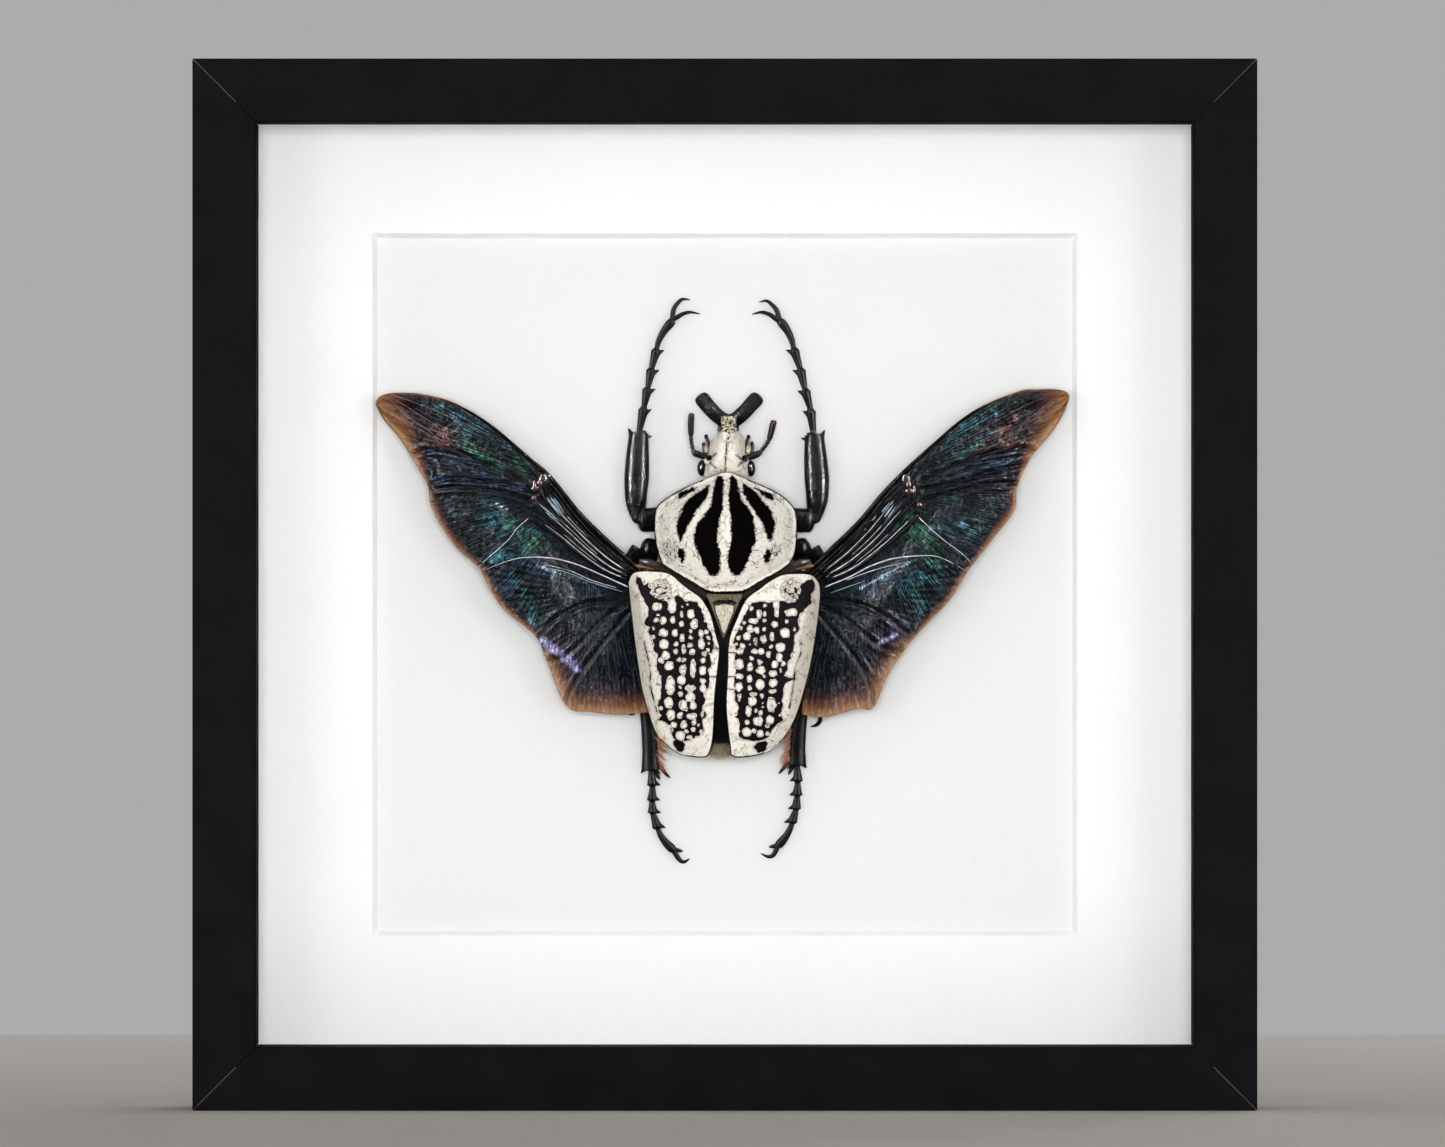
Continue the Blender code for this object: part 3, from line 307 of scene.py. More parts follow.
# Black marks of the pronotum, in tenths of a millimetre
STRIPES = [
    [(-19, 272), (-24, 256), (-28, 227), (-34, 203), (-50, 179), (-64, 163), (-70, 146), (-73, 130),
     (-70, 110), (-58, 81), (-52, 65), (-38, 45), (-28, 37), (-15, 43), (-11, 61), (-11, 94),
     (-18, 122), (-15, 146), (-11, 175), (-5, 199), (-5, 219), (-3, 256), (-7, 272)],
    [(13, 272), (27, 268), (31, 248), (39, 219), (56, 199), (66, 175), (70, 150), (72, 122), (62, 94),
     (52, 69), (45, 53), (31, 37), (15, 45), (7, 69), (9, 98), (15, 126), (15, 150), (13, 179),
     (9, 207), (11, 240)],
    [(-38, 254), (-52, 242), (-69, 232), (-91, 212), (-99, 201), (-108, 177), (-113, 165), (-113, 150),
     (-111, 136), (-104, 120), (-96, 136), (-92, 145), (-80, 167), (-69, 188), (-59, 201), (-47, 216),
     (-39, 234)],
    [(44, 256), (57, 246), (70, 239), (81, 227), (90, 214), (101, 202), (110, 190), (112, 179), (118, 165),
     (118, 150), (114, 136), (107, 120), (99, 131), (94, 145), (88, 162), (78, 177), (68, 194), (56, 209),
     (47, 226), (43, 240)],
    [(-109, 234), (-90, 242), (-66, 246), (-78, 236), (-99, 223), (-110, 221)],
    [(70, 246), (88, 240), (112, 230), (116, 217), (100, 219), (82, 234)],
    [(-109, 104), (-101, 102), (-95, 90), (-97, 73), (-103, 69), (-110, 86)],
    [(104, 102), (109, 90), (106, 73), (98, 66), (92, 77), (96, 92)],
]

# Black field of each wing case, the black spot at its end, and the line inside its grey flank
FIELD = {
    -1: [
        (-208, 37), (-198, 31), (-190, 16), (-181, 21), (-177, 14), (-176, 3), (-168, -8), (-156, -17),
        (-147, -16), (-128, -15), (-111, -7),
        (-100, -16), (-83, -22), (-66, -22), (-60, -35), (-49, -58), (-41, -80), (-30, -103),
        (-26, -133), (-34, -152), (-30, -170), (-40, -185), (-36, -197), (-38, -227), (-51, -238),
        (-45, -253), (-53, -272), (-41, -291), (-53, -302), (-49, -328), (-68, -343), (-100, -352),
        (-120, -343), (-126, -332), (-135, -309), (-156, -302), (-150, -291), (-158, -276),
        (-154, -257), (-150, -242), (-150, -215), (-154, -193), (-162, -174), (-158, -152),
        (-167, -133), (-169, -107), (-180, -95), (-178, -82), (-191, -73), (-180, -54), (-182, -35),
        (-192, -16), (-199, -1), (-210, 25),
    ],
    1: [
        (60, -32), (64, -26), (82, -22), (105, -24), (127, -20), (142, -22), (158, -24), (170, -14),
        (176, 2), (178, 17), (190, 24), (206, 31), (212, 14), (204, -9), (202, -28), (184, -47), (172, -65),
        (176, -88), (165, -103), (161, -140), (150, -163), (146, -185), (139, -197), (167, -204),
        (142, -215), (139, -234), (135, -253), (137, -272), (131, -291), (139, -302), (124, -313),
        (109, -328), (105, -339), (82, -351), (43, -347), (34, -336), (35, -309), (26, -294),
        (34, -272), (24, -253), (22, -200), (26, -178), (22, -155), (26, -137), (20, -118),
        (26, -99), (35, -80), (41, -65), (49, -47),
    ],
}
APEX_SPOT = {
    -1: [(-120, -349), (-100, -352), (-95, -369), (-103, -377), (-117, -366)],
    1: [(69, -366), (81, -354), (99, -354), (96, -373), (79, -379)],
}
FLANK = {
    -1: [
        (-209, 10), (-197, -35), (-191, -103), (-188, -125), (-182, -152), (-177, -174), (-175, -193),
        (-176, -215), (-171, -242), (-163, -268), (-158, -302), (-147, -336), (-128, -362),
    ],
    1: [
        (204, -1), (193, -47), (180, -88), (179, -140), (167, -174), (162, -208), (156, -253),
        (146, -291), (127, -324), (109, -358),
    ],
}
# Thin cuts across the white band beside the suture
CUTS = {
    -1: [[(-34, -131), (-10, -134)], [(-36, -200), (-12, -199)], [(-48, -268), (-24, -262)]],
    1: [[(4, -142), (28, -144)], [(4, -200), (26, -199)], [(4, -228), (27, -231)]],
}
# White dots of each wing case: (x, z, half width, half height)
DOTS = {
    -1: [
        (-160, -35, 12, 10), (-124, -33, 10, 19), (-100, -35, 3, 4), (-88, -29, 3, 3), (-102, -53, 5, 8),
        (-157, -55, 4, 3), (-80, -52, 9, 11), (-72, -75, 9, 12), (-47, -68, 3, 3), (-162, -66, 7, 6),
        (-145, -66, 8, 10), (-123, -66, 7, 8), (-102, -75, 6, 8), (-168, -85, 5, 5), (-145, -96, 11, 9),
        (-118, -96, 7, 9), (-81, -92, 5, 5), (-44, -94, 5, 6), (-168, -106, 5, 5), (-100, -108, 6, 10),
        (-81, -107, 6, 6), (-56, -99, 6, 11), (-55, -122, 8, 13), (-38, -109, 5, 5), (-38, -121, 4, 4),
        (-143, -123, 12, 11), (-115, -123, 6, 6), (-82, -125, 6, 6), (-97, -135, 6, 12),
        (-116, -140, 6, 6), (-77, -141, 8, 8), (-40, -137, 5, 5), (-49, -146, 6, 7), (-36, -146, 3, 3),
        (-52, -161, 7, 6), (-150, -161, 7, 8), (-139, -150, 11, 10), (-131, -174, 10, 12),
        (-108, -160, 6, 6), (-96, -160, 5, 6), (-75, -181, 7, 23), (-99, -182, 9, 11),
        (-102, -207, 10, 11), (-52, -185, 9, 11), (-153, -201, 5, 5), (-128, -220, 11, 23),
        (-52, -210, 8, 6), (-51, -227, 8, 11), (-82, -226, 13, 8), (-105, -224, 4, 5),
        (-104, -240, 5, 7), (-81, -247, 12, 11), (-132, -261, 11, 14), (-99, -266, 10, 13),
        (-75, -268, 8, 10), (-91, -276, 5, 5), (-151, -274, 7, 5), (-127, -289, 10, 13),
        (-106, -291, 8, 8), (-78, -292, 13, 7), (-53, -287, 5, 7), (-121, -314, 8, 8),
        (-97, -312, 9, 10), (-73, -307, 7, 8), (-62, -314, 3, 3), (-90, -328, 5, 5), (-74, -324, 6, 6),
        (-56, -328, 5, 5), (-124, -327, 4, 4), (-105, -340, 11, 12), (-83, -342, 8, 5), (-66, -342, 4, 4),
    ],
    1: [
        (62, -39, 5, 6), (94, -32, 5, 5), (94, -51, 5, 6), (121, -30, 8, 11), (122, -48, 6, 13),
        (156, -48, 15, 10), (81, -52, 7, 11), (67, -68, 12, 7), (93, -67, 5, 5), (46, -72, 4, 4),
        (118, -76, 8, 8), (146, -69, 6, 6), (60, -88, 9, 9), (52, -104, 9, 10), (75, -90, 6, 8),
        (93, -89, 5, 5), (37, -84, 4, 5), (32, -108, 5, 5), (73, -117, 6, 10), (91, -112, 7, 11),
        (111, -104, 6, 11), (141, -96, 12, 12), (164, -88, 3, 5), (27, -122, 4, 4), (59, -122, 3, 3),
        (42, -128, 7, 8), (35, -140, 8, 8), (70, -140, 8, 7), (86, -140, 8, 8), (103, -147, 6, 8),
        (109, -129, 5, 5), (131, -130, 11, 11), (63, -156, 5, 5), (34, -170, 10, 13), (60, -177, 8, 11),
        (82, -165, 7, 7), (85, -184, 11, 10), (114, -192, 10, 8), (128, -154, 8, 11), (118, -170, 8, 9),
        (138, -169, 6, 7), (131, -185, 3, 6), (34, -199, 10, 7), (58, -205, 7, 9), (93, -199, 5, 5),
        (114, -214, 11, 10), (83, -218, 11, 13), (33, -223, 9, 11), (59, -227, 6, 5), (111, -234, 10, 6),
        (34, -245, 6, 6), (33, -255, 4, 4), (67, -240, 11, 5), (65, -257, 11, 11), (87, -245, 5, 7),
        (110, -265, 11, 19), (89, -261, 3, 3), (89, -271, 3, 3), (127, -262, 3, 3), (55, -281, 8, 13),
        (73, -279, 5, 7), (84, -285, 6, 6), (78, -304, 11, 12), (106, -301, 10, 11), (52, -307, 7, 7),
        (101, -316, 6, 4), (130, -290, 4, 4), (52, -330, 11, 11), (69, -327, 5, 6), (84, -334, 8, 9),
        (101, -334, 5, 5),
    ],
}
DOT_POWER = 2.2  # 2 draws ovals, more than 2 draws squarer dots
SCRIBBLE = {-1: (-152, 3, 23), 1: (156, 4, 22)}
TICK = [(1, 120), (4, 113), (10, 113)]
SPECKLES = [(-127, 98, 13), (118, 98, 8)]

# Veins and folds of each flight wing, in tenths of a millimetre
RIBS = {
    -1: [
        [(-219, 48), (-267, 85), (-315, 127), (-368, 181), (-403, 229), (-427, 271)],
        [(-223, 42), (-272, 71), (-323, 114), (-374, 165), (-416, 207), (-440, 245)],
        [(-227, 35), (-275, 58), (-328, 98), (-379, 143), (-422, 178), (-451, 205)],
        [(-229, 27), (-283, 48), (-339, 85), (-395, 130), (-456, 170)],
    ],
    1: [
        [(220, 48), (274, 94), (327, 153), (375, 217), (410, 271)],
        [(228, 41), (287, 85), (341, 135), (389, 191), (426, 234)],
        [(234, 33), (295, 66), (357, 117), (405, 170), (447, 213)],
        [(239, 25), (303, 52), (367, 98), (421, 143), (463, 186)],
    ],
}
VEINS = {
    -1: [
        [(-229, 12), (-288, 39), (-352, 66), (-411, 80), (-475, 81), (-518, 71), (-566, 52)],
        [(-256, 10), (-315, 28), (-368, 51), (-422, 64)],
        [(-464, 173), (-491, 149), (-507, 127), (-534, 101), (-560, 79), (-582, 58)],
        [(-793, 455), (-748, 414), (-698, 380), (-648, 341), (-598, 316)],
        [(-799, 447), (-754, 405), (-692, 366), (-640, 330)],
        [(-776, 453), (-726, 422), (-681, 391), (-634, 337)],
        [(-782, 464), (-740, 450), (-676, 425), (-614, 397), (-548, 366), (-469, 322)],
    ],
    1: [
        [(237, 12), (293, 35), (341, 60), (394, 78), (453, 85), (506, 82), (565, 52)],
        [(287, 28), (341, 48), (383, 60), (437, 73)],
        [(453, 181), (480, 154), (517, 122), (560, 90), (581, 68)],
        [(795, 466), (739, 425), (689, 390), (639, 348)],
        [(778, 460), (720, 409), (661, 362), (611, 334)],
        [(789, 470), (728, 448), (661, 416), (589, 372), (511, 322)],
        [(756, 430), (700, 385), (650, 345)],
    ],
}
FOLDS = {
    -1: [
        [(-448, 234), (-507, 277), (-560, 301), (-625, 327), (-673, 338), (-737, 327)],
        [(-448, 234), (-507, 251), (-582, 262), (-646, 266), (-694, 253)],
        [(-454, 213), (-507, 233), (-571, 245), (-625, 249), (-694, 243)],
        [(-235, -22), (-315, -25), (-368, -44), (-406, -68), (-438, -102)],
        [(-229, -49), (-315, -156), (-365, -236), (-374, -263)],
        [(-235, -28), (-293, -70), (-368, -145), (-422, -161)],
    ],
    1: [
        [(469, 261), (528, 290), (608, 324), (688, 338), (736, 336)],
        [(469, 242), (538, 255), (608, 277), (688, 298), (720, 309)],
        [(469, 213), (528, 233), (608, 251), (688, 258)],
        [(231, -17), (314, -28), (383, -60), (442, -108)],
        [(223, -54), (287, -129), (335, -199), (349, -265)],
        [(228, -28), (293, -70), (367, -129), (421, -140)],
    ],
}
# Pale glassy streaks that lie on the membrane, as painted highlights of its crumples: points, then the half
# width
HIGHLIGHT_STREAKS = {
    -1: [((-420, 222), (-404, 200), (-384, 174), 2), ((-412, 224), (-396, 203), (-380, 178), 2),
         ((-404, 222), (-390, 204), (-378, 184), 1.5), ((-438, 208), (-415, 188), (-391, 167), 1.5),
         ((-240, 0), (-300, 18), (-360, 38), 1), ((-330, 30), (-380, 48), (-430, 58), 1)],
    1: [((376, 176), (387, 191), (398, 206), 2.5), ((385, 175), (395, 189), (404, 204), 2),
        ((370, 188), (379, 199), (390, 212), 1.5), ((321, 8), (380, 42), (440, 72), 1.2),
        ((250, -2), (290, 12), (330, 26), 1)],
}
# Width of the pale margin, in millimetres, at shares of the trailing edge from the body out
MARGIN_SHARES = (0, 0.14, 0.2, 0.3, 0.353, 0.42, 0.5, 0.559, 0.62, 0.72, 0.778, 0.81, 0.9, 0.96, 1)
MARGIN_WIDTHS = (9.0, 9.0, 7.0, 5.0, 1.7, 2.4, 2.5, 1.6, 2.8, 3.2, 1.4, 3.6, 12.0, 17.0, 17.0)
HINGE = {-1: [(-427, 282), (-438, 245), (-451, 223)], 1: [(415, 282), (442, 245), (458, 207)]}
WING_ROOT = {-1: (-22.9, -0.1), 1: (22.8, -0.1)}
# Coloured sheens of the film: tint, two ends of the stroke, and its half width. The palest strokes, and the
# lilac one by the left hinge, are painted highlights.
SHEENS = {
    -1: [
        ("teal", -672, 437, -612, 378, 16), ("teal", -640, 428, -520, 352, 20),
        ("green", -622, 352, -531, 292, 13), ("green", -492, 310, -469, 277, 9),
        ("blue", -690, 268, -469, 244, 12), ("blue", -690, 325, -560, 285, 22),
        ("ice", -538, 208, -514, 193, 4), ("ice", -447, 219, -410, 178, 9),
        ("lilac", -414, 222, -376, 166, 9),
        ("green", -503, 152, -450, 108, 22), ("teal", -547, 76, -470, 90, 16),
        ("teal", -560, 190, -500, 110, 34), ("teal", -458, 152, -420, 110, 12),
        ("blue", -470, 64, -292, 4, 17), ("ice", -440, 62, -330, 24, 4), ("teal", -497, 45, -447, -80, 17),
        ("blue", -560, 45, -503, 8, 24), ("lilac", -428, -116, -346, -180, 15),
        ("violet", -430, -95, -340, -130, 30), ("rust", -770, 415, -655, 345, 44),
    ],
    1: [
        ("teal", 510, 360, 628, 433, 24), ("teal", 639, 391, 555, 316, 8), ("green", 594, 349, 530, 310, 10),
        ("blue", 494, 327, 544, 349, 7), ("blue", 560, 285, 700, 320, 20), ("violet", 560, 250, 690, 262, 18),
        ("teal", 466, 193, 550, 221, 7), ("green", 432, 165, 489, 110, 24), ("teal", 500, 143, 600, 154, 26),
        ("ice", 374, 178, 407, 212, 10), ("ice", 321, 9, 438, 71, 4), ("blue", 330, 10, 470, 40, 22),
        ("teal", 425, 10, 490, 40, 22), ("teal", 450, -5, 458, -40, 20), ("blue", 500, 65, 555, 48, 16),
        ("green", 466, 82, 500, 60, 10), ("lilac", 364, -122, 406, -99, 7),
        ("violet", 330, -100, 400, -80, 30), ("rust", 760, 415, 620, 342, 44),
        ("teal", 380, 165, 430, 120, 14),
    ],
}
TINTS = ("violet", "rust", "blue", "teal", "green", "lilac", "ice")


def linear(code):
    """An sRGB hex colour as linear RGBA."""
    parts = [int(code[i : i + 2], 16) / 255 for i in (1, 3, 5)]
    return (*[p / 12.92 if p <= 0.04045 else ((p + 0.055) / 1.055) ** 2.4 for p in parts], 1.0)


def colour(name, description, code):
    """A colour that the panel shows."""
    return FloatVectorProperty(
        name=name, description=description, subtype="COLOR", size=4, min=0.0, max=1.0, default=linear(code)
    )


def number(name, description, value, **more):
    """A number that the panel shows."""
    return FloatProperty(name=name, description=description, default=value, **more)


def length(name, description, millimetres):
    """A length that the panel shows."""
    return number(name, description, millimetres * MM, unit="LENGTH", precision=5)


class GoliathFrameSettings(bpy.types.PropertyGroup):
    rail_edge: length("Rail edge", "Rounding of the rails' long edges", 0.45)
    mitre_edge: length("Mitre edge", "Rounding of the rails' mitred ends", 0.12)
    lacquer: colour("Lacquer", "Black lacquer of the rails", "#1f1f21")
    mat: colour("Mat", "White of the window mat", "#fcfcfd")
    board: colour("Board", "White of the backing board", "#eeeeee")
    spacer: colour("Spacer", "Black card of the spacers", "#161617")
    hardboard: colour("Hardboard", "Brown of the back panel", "#6b4a30")
    zinc: colour("Zinc", "Plating of the tabs and the hanger", "#b4b7ba")
    glass_veil: number("Glass veil", "Share of light that the glass sends back", 0.004, min=0.0, max=1.0)


class GoliathBeetleSettings(bpy.types.PropertyGroup):
    chalk: colour("Chalk", "White scales of the cuticle", "#f0ece3")
    cream: colour("Cream", "Yellowed scales", "#e6deca")
    crack: colour("Cracks", "Bare cuticle in the cracks", "#715b3c")
    ochre: colour("Ochre", "Ochre skin at the root of the horn", "#b9ac8a")
    flank: colour("Flank", "Dull flank of the wing cases", "#d5cdbd")
    stripe: colour("Stripe", "Velvet black of the marks", "#060404")
    field: colour("Field", "Purple black field of the wing cases", "#130e12")
    leg: colour("Leg", "Glossy black of legs and horn", "#030304")
    olive: colour("Olive", "Border of the scutellum", "#7a735c")
    fur: colour("Fur", "Dark fur between the plates", "#3a2c1d")
    bristle: colour("Bristle", "Orange bristles of the legs", "#d3915f")


class GoliathWingSettings(bpy.types.PropertyGroup):
    # Navy also paints the shade in the pleat valleys and the folds
    navy: colour("Navy", "Black lines of the membrane", "#020304")
    slate: colour("Slate", "Crests of the membrane", "#1a2830")
    teal: colour("Teal", "Teal sheen", "#29565f")
    green: colour("Green", "Green sheen", "#2f6854")
    blue: colour("Blue", "Blue sheen", "#26384f")
    lilac: colour("Lilac", "Lilac sheen", "#7c7496")
    # The palest streaks are painted highlights
    ice: colour("Ice", "Palest streaks", "#a3c0cf")
    violet: colour("Violet", "Violet sheen", "#33253b")
    rust: colour("Rust", "Red brown towards the tip", "#54332b")
    mauve: colour("Mauve", "Inner band of the margin", "#38262d")
    brown: colour("Brown", "Middle band of the margin", "#7b5440")
    amber: colour("Amber", "Outer band of the margin", "#b58a60")
    sheet: length("Sheet", "Thickness of the membrane", 0.14)


class GoliathStageSettings(bpy.types.PropertyGroup):
    floor: colour("Floor", "Pale floor", "#cfccc6")
    wall: colour("Air", "Pale light all round", "#a4a4a4")
    floor_half: length("Floor half", "Half the floor's width", 800.0)
    fill_power: number("Front fill", "Power of the front light, in watts", 105.0)
    key_power: number("Side lights", "Power of each side light, in watts", 10.0)
    glint_power: number("Glints", "Power of each light seen in reflections only, in watts", 220.0)
    top_power: number("Top light", "Power of the top light, in watts", 9.0)
    rear_power: number("Rear light", "Power of the light behind, in watts", 14.0)


def per_vertex(mesh, what="co"):
    """The place or the normal of each vertex."""
    flat = np.empty(3 * len(mesh.vertices), np.float32)
    mesh.vertices.foreach_get(what, flat)
    return flat.reshape(-1, 3).astype(float)


def set_places(mesh, places):
    mesh.vertices.foreach_set("co", np.asarray(places, np.float32).ravel())
    mesh.update()


def paint(mesh, name, values):
    """Stores a number or a vector for each vertex."""
    values = np.asarray(values, np.float32)
    kind, field = ("FLOAT", "value") if values.ndim == 1 else ("FLOAT_VECTOR", "vector")
    mesh.attributes.new(name, kind, "POINT").data.foreach_set(field, values.ravel())


def in_frame(x, z, h):
    """Points of the specimen, in millimetres, as places in the frame."""
    return np.column_stack((x, BOARD - h, DATUM + z)) * MM


def in_specimen(mesh):
    """A mesh's vertices as x, z and h in millimetres."""
    points = per_vertex(mesh) / MM
    return points[:, 0], points[:, 2] - DATUM, BOARD - points[:, 1]


def ended(bm, mesh=None, smooth=True):
    """Writes a bmesh to a mesh, a new one if none is given, and frees it."""
    mesh = mesh or bpy.data.meshes.new("part")
    bm.to_mesh(mesh)
    bm.free()
    if smooth:
        mesh.shade_smooth()
    return mesh


def settled(obj):
    """The evaluated mesh of a helper object, which is removed."""
    graph = bpy.context.evaluated_depsgraph_get()
    mesh = bpy.data.meshes.new_from_object(obj.evaluated_get(graph))
    bpy.data.objects.remove(obj, do_unlink=True)
    return mesh


def placed(name, data):
    """An object in the scene."""
    obj = bpy.data.objects.new(name, data)
    bpy.context.scene.collection.objects.link(obj)
    return obj


def joined(*groups):
    """Groups of meshes as one mesh, with a material slot for each group."""
    bm = bmesh.new()
    for slot, group in enumerate(groups):
        for mesh in group:
            mesh.polygons.foreach_set("material_index", np.full(len(mesh.polygons), slot, np.int32))
            bm.from_mesh(mesh)
    return ended(bm)


def grown(meshes):
    """Shapes that grow from one another, as one skin with soft joints."""
    obj = placed("helper", joined(meshes))
    remesh = obj.modifiers.new("Remesh", "REMESH")
    remesh.mode = "VOXEL"
    remesh.voxel_size = SKIN_VOXEL * MM
    soften = obj.modifiers.new("Smooth", "SMOOTH")
    soften.factor = 0.5
    soften.iterations = SKIN_ROUNDS
    return settled(obj)


def tubes(bars, sides=8):
    """Round bars, each through (x, z, h) points with a half width at each, in millimetres."""
    curve = bpy.data.curves.new("tubes", "CURVE")
    curve.dimensions = "3D"
    curve.bevel_depth = MM
    curve.bevel_resolution = (sides - 4) // 2
    curve.use_fill_caps = True
    for points, widths in bars:
        spline = curve.splines.new("POLY")
        spline.points.add(len(points) - 1)
        places = in_frame(*np.asarray(points, float).T)
        spline.points.foreach_set("co", np.column_stack((places, np.ones(len(places)))).ravel())
        spline.points.foreach_set("radius", np.asarray(widths, float))
    mesh = settled(placed("helper", curve))
    bm = bmesh.new()
    bm.from_mesh(mesh)
    bmesh.ops.remove_doubles(bm, verts=bm.verts, dist=1e-6)
    return ended(bm, mesh)


def bar(line, widths, shares=None):
    """A line with half widths, given at shares of its points or else at even steps."""
    shares = np.linspace(0, 1, len(widths)) if shares is None else shares
    return line, np.interp(np.linspace(0, 1, len(line)), shares, widths)


def pressed(mesh, line, share):
    """A bar pressed flat towards the board, about its own axis."""
    x, z, h = in_specimen(mesh)
    line = np.asarray(line, float)
    nearest = np.argmin((x[:, None] - line[:, 0]) ** 2 + (z[:, None] - line[:, 1]) ** 2, axis=1)
    middle = line[nearest, 2]
    set_places(mesh, in_frame(x, z, middle + (h - middle) * share))
    return mesh


def ball(x, z, h, radii, segments=32, rings=20):
    """A round body with radii along x, z and h."""
    bm = bmesh.new()
    bmesh.ops.create_uvsphere(bm, u_segments=segments, v_segments=rings, radius=MM)
    bmesh.ops.scale(bm, vec=Vector((radii[0], radii[2], radii[1])), verts=bm.verts)
    bmesh.ops.translate(bm, vec=Vector(in_frame(x, z, h)[0]), verts=bm.verts)
    return ended(bm)


def smooth_line(points, steps=8, closed=False):
    """Points on a smooth line through the given ones."""
    p = np.array(points, float)
    if closed:
        a, b, c, d = (np.roll(p, k, axis=0) for k in (1, 0, -1, -2))
    else:
        padded = np.vstack((p[:1], p, p[-1:]))
        a, b, c, d = padded[:-3], padded[1:-2], padded[2:-1], padded[3:]
    t = (np.arange(steps) / steps)[None, :, None]
    a, b, c, d = (part[:, None, :] for part in (a, b, c, d))
    line = 0.5 * (2 * b + (c - a) * t + (2 * a - 5 * b + 4 * c - d) * t**2 + (3 * b - a - 3 * c + d) * t**3)
    line = line.reshape(-1, p.shape[1])
    return line if closed else np.vstack((line, p[-1:]))


def drawn(points, steps=6, closed=False):
    """A drawn mark as a smooth line in millimetres."""
    return smooth_line(np.array(points) * MARK, steps, closed)


def lifted(points, heights):
    """Points of the board, each at its own height above it."""
    return [(x, z, h) for (x, z), h in zip(points, heights)]


def mirrored(points, side):
    """Points of the right side as those of the given side."""
    return [(side * x, z, h) for x, z, h in points]


def along(line, share):
    """Points at shares of a line's length."""
    lengths = np.concatenate([[0], np.cumsum(np.linalg.norm(np.diff(line, axis=0), axis=1))])
    at = np.asarray(share) * lengths[-1]
    return np.column_stack([np.interp(at, lengths, line[:, k]) for k in range(line.shape[1])])


def distance(x, z, line, closed=False):
    """Distance of each point to a line."""
    line = np.asarray(line, float)
    ends = np.roll(line, -1, axis=0) if closed else line[1:]
    best = np.full(len(x), np.inf)
    for (ax, az), (bx, bz) in zip(line, ends):
        run = max((bx - ax) ** 2 + (bz - az) ** 2, 1e-12)
        t = np.clip(((x - ax) * (bx - ax) + (z - az) * (bz - az)) / run, 0, 1)
        best = np.minimum(best, np.hypot(x - ax - t * (bx - ax), z - az - t * (bz - az)))
    return best


def signed(x, z, outline):
    """Distance of each point to a closed line, above zero inside it."""
    inside = np.zeros(len(x), bool)
    for (ax, az), (bx, bz) in zip(outline, np.roll(outline, -1, axis=0)):
        if az != bz:
            crosses = (az > z) != (bz > z)
            inside ^= crosses & (x < (bx - ax) * (z - az) / (bz - az) + ax)
    return np.where(inside, 1, -1) * distance(x, z, outline, closed=True)


def inked(x, z, mark, steps=3):
    """Distance of each point to the edge of a drawn mark, above zero inside it."""
    return signed(x, z, drawn(mark, steps, closed=True))


def rough(x, z, size, seed=0.0):
    """Soft noise between about -1 and 1, with lumps of the given size in millimetres."""
    return np.array([noise.noise((a, b, seed)) for a, b in np.column_stack((x, z)) / size])


def bell(far, width):
    """1 in the middle, and soon nothing beyond the width."""
    return np.exp(-((far / width) ** 2))


def dome(share, power=2):
    """1 in the middle, and round down to nothing at share 1."""
    return np.sqrt(np.maximum(0.0, 1 - share**power))


class Outline:
    """A smooth closed line round a centre, crossed once by every ray from it."""

    def __init__(self, points, centre, steps=8):
        self.centre = np.array(centre, float)
        self.line = smooth_line(points, steps, closed=True)
        from_centre = self.line - self.centre
        angles = np.arctan2(from_centre[:, 1], from_centre[:, 0])
        order = np.argsort(angles)
        self.angles = angles[order]
        self.radii = np.hypot(*from_centre.T)[order]

    def reach(self, angle):
        return np.interp(angle, self.angles, self.radii, period=2 * math.pi)

    def at(self, angle, share=1.0):
        reach = self.reach(angle) * share
        return self.centre[0] + reach * np.cos(angle), self.centre[1] + reach * np.sin(angle)

    def share(self, x, z):
        """0 at the centre and 1 on the line, with the angle."""
        dx, dz = x - self.centre[0], z - self.centre[1]
        angle = np.arctan2(dz, dx)
        return np.hypot(dx, dz) / self.reach(angle), angle


def pillow(outline, top, underside, across, tall):
    """A closed skin over an outline: two grids rounded to it, laid on two height functions."""
    bm = bmesh.new()
    for level in (1.0, -1.0):
        lift = Matrix.Translation((0, 0, level))
        bmesh.ops.create_grid(bm, x_segments=across, y_segments=tall, size=1.0, matrix=lift)
    mesh = ended(bm)
    u, v, level = per_vertex(mesh).T
    wide, high = u * np.sqrt(1 - v * v / 2), v * np.sqrt(1 - u * u / 2)
    share = np.minimum(np.hypot(wide, high), 1.0)
    angle = np.arctan2(high, wide)
    x, z = outline.at(angle, share)
    h = np.where(level > 0, top(x, z, share, angle), underside(x, z, share, angle))
    set_places(mesh, in_frame(x, z, h))
    bm = bmesh.new()
    bm.from_mesh(mesh)
    bmesh.ops.remove_doubles(bm, verts=bm.verts, dist=2e-6)
    bmesh.ops.recalc_face_normals(bm, faces=bm.faces)
    if bm.calc_volume(signed=True) < 0:
        bmesh.ops.reverse_faces(bm, faces=bm.faces)
    return ended(bm, mesh)


def piece(name, mesh, slot, nodes, *materials):
    """Makes a finished piece: it rides on the frame and stands for its CAD nodes. The slot argument is not
    used.
    """
    mesh.name = name
    slots = np.empty(len(mesh.polygons), np.int32)
    mesh.polygons.foreach_get("material_index", slots)
    mesh.materials.clear()
    for material in materials:
        mesh.materials.append(material)
    mesh.polygons.foreach_set("material_index", slots)
    obj = placed(name, mesh)
    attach(obj, BODY)
    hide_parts(*nodes)


def dress(node, material):
    """Gives a CAD node its finish."""
    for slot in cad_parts[node].material_slots:
        slot.link = "OBJECT"
        slot.material = material


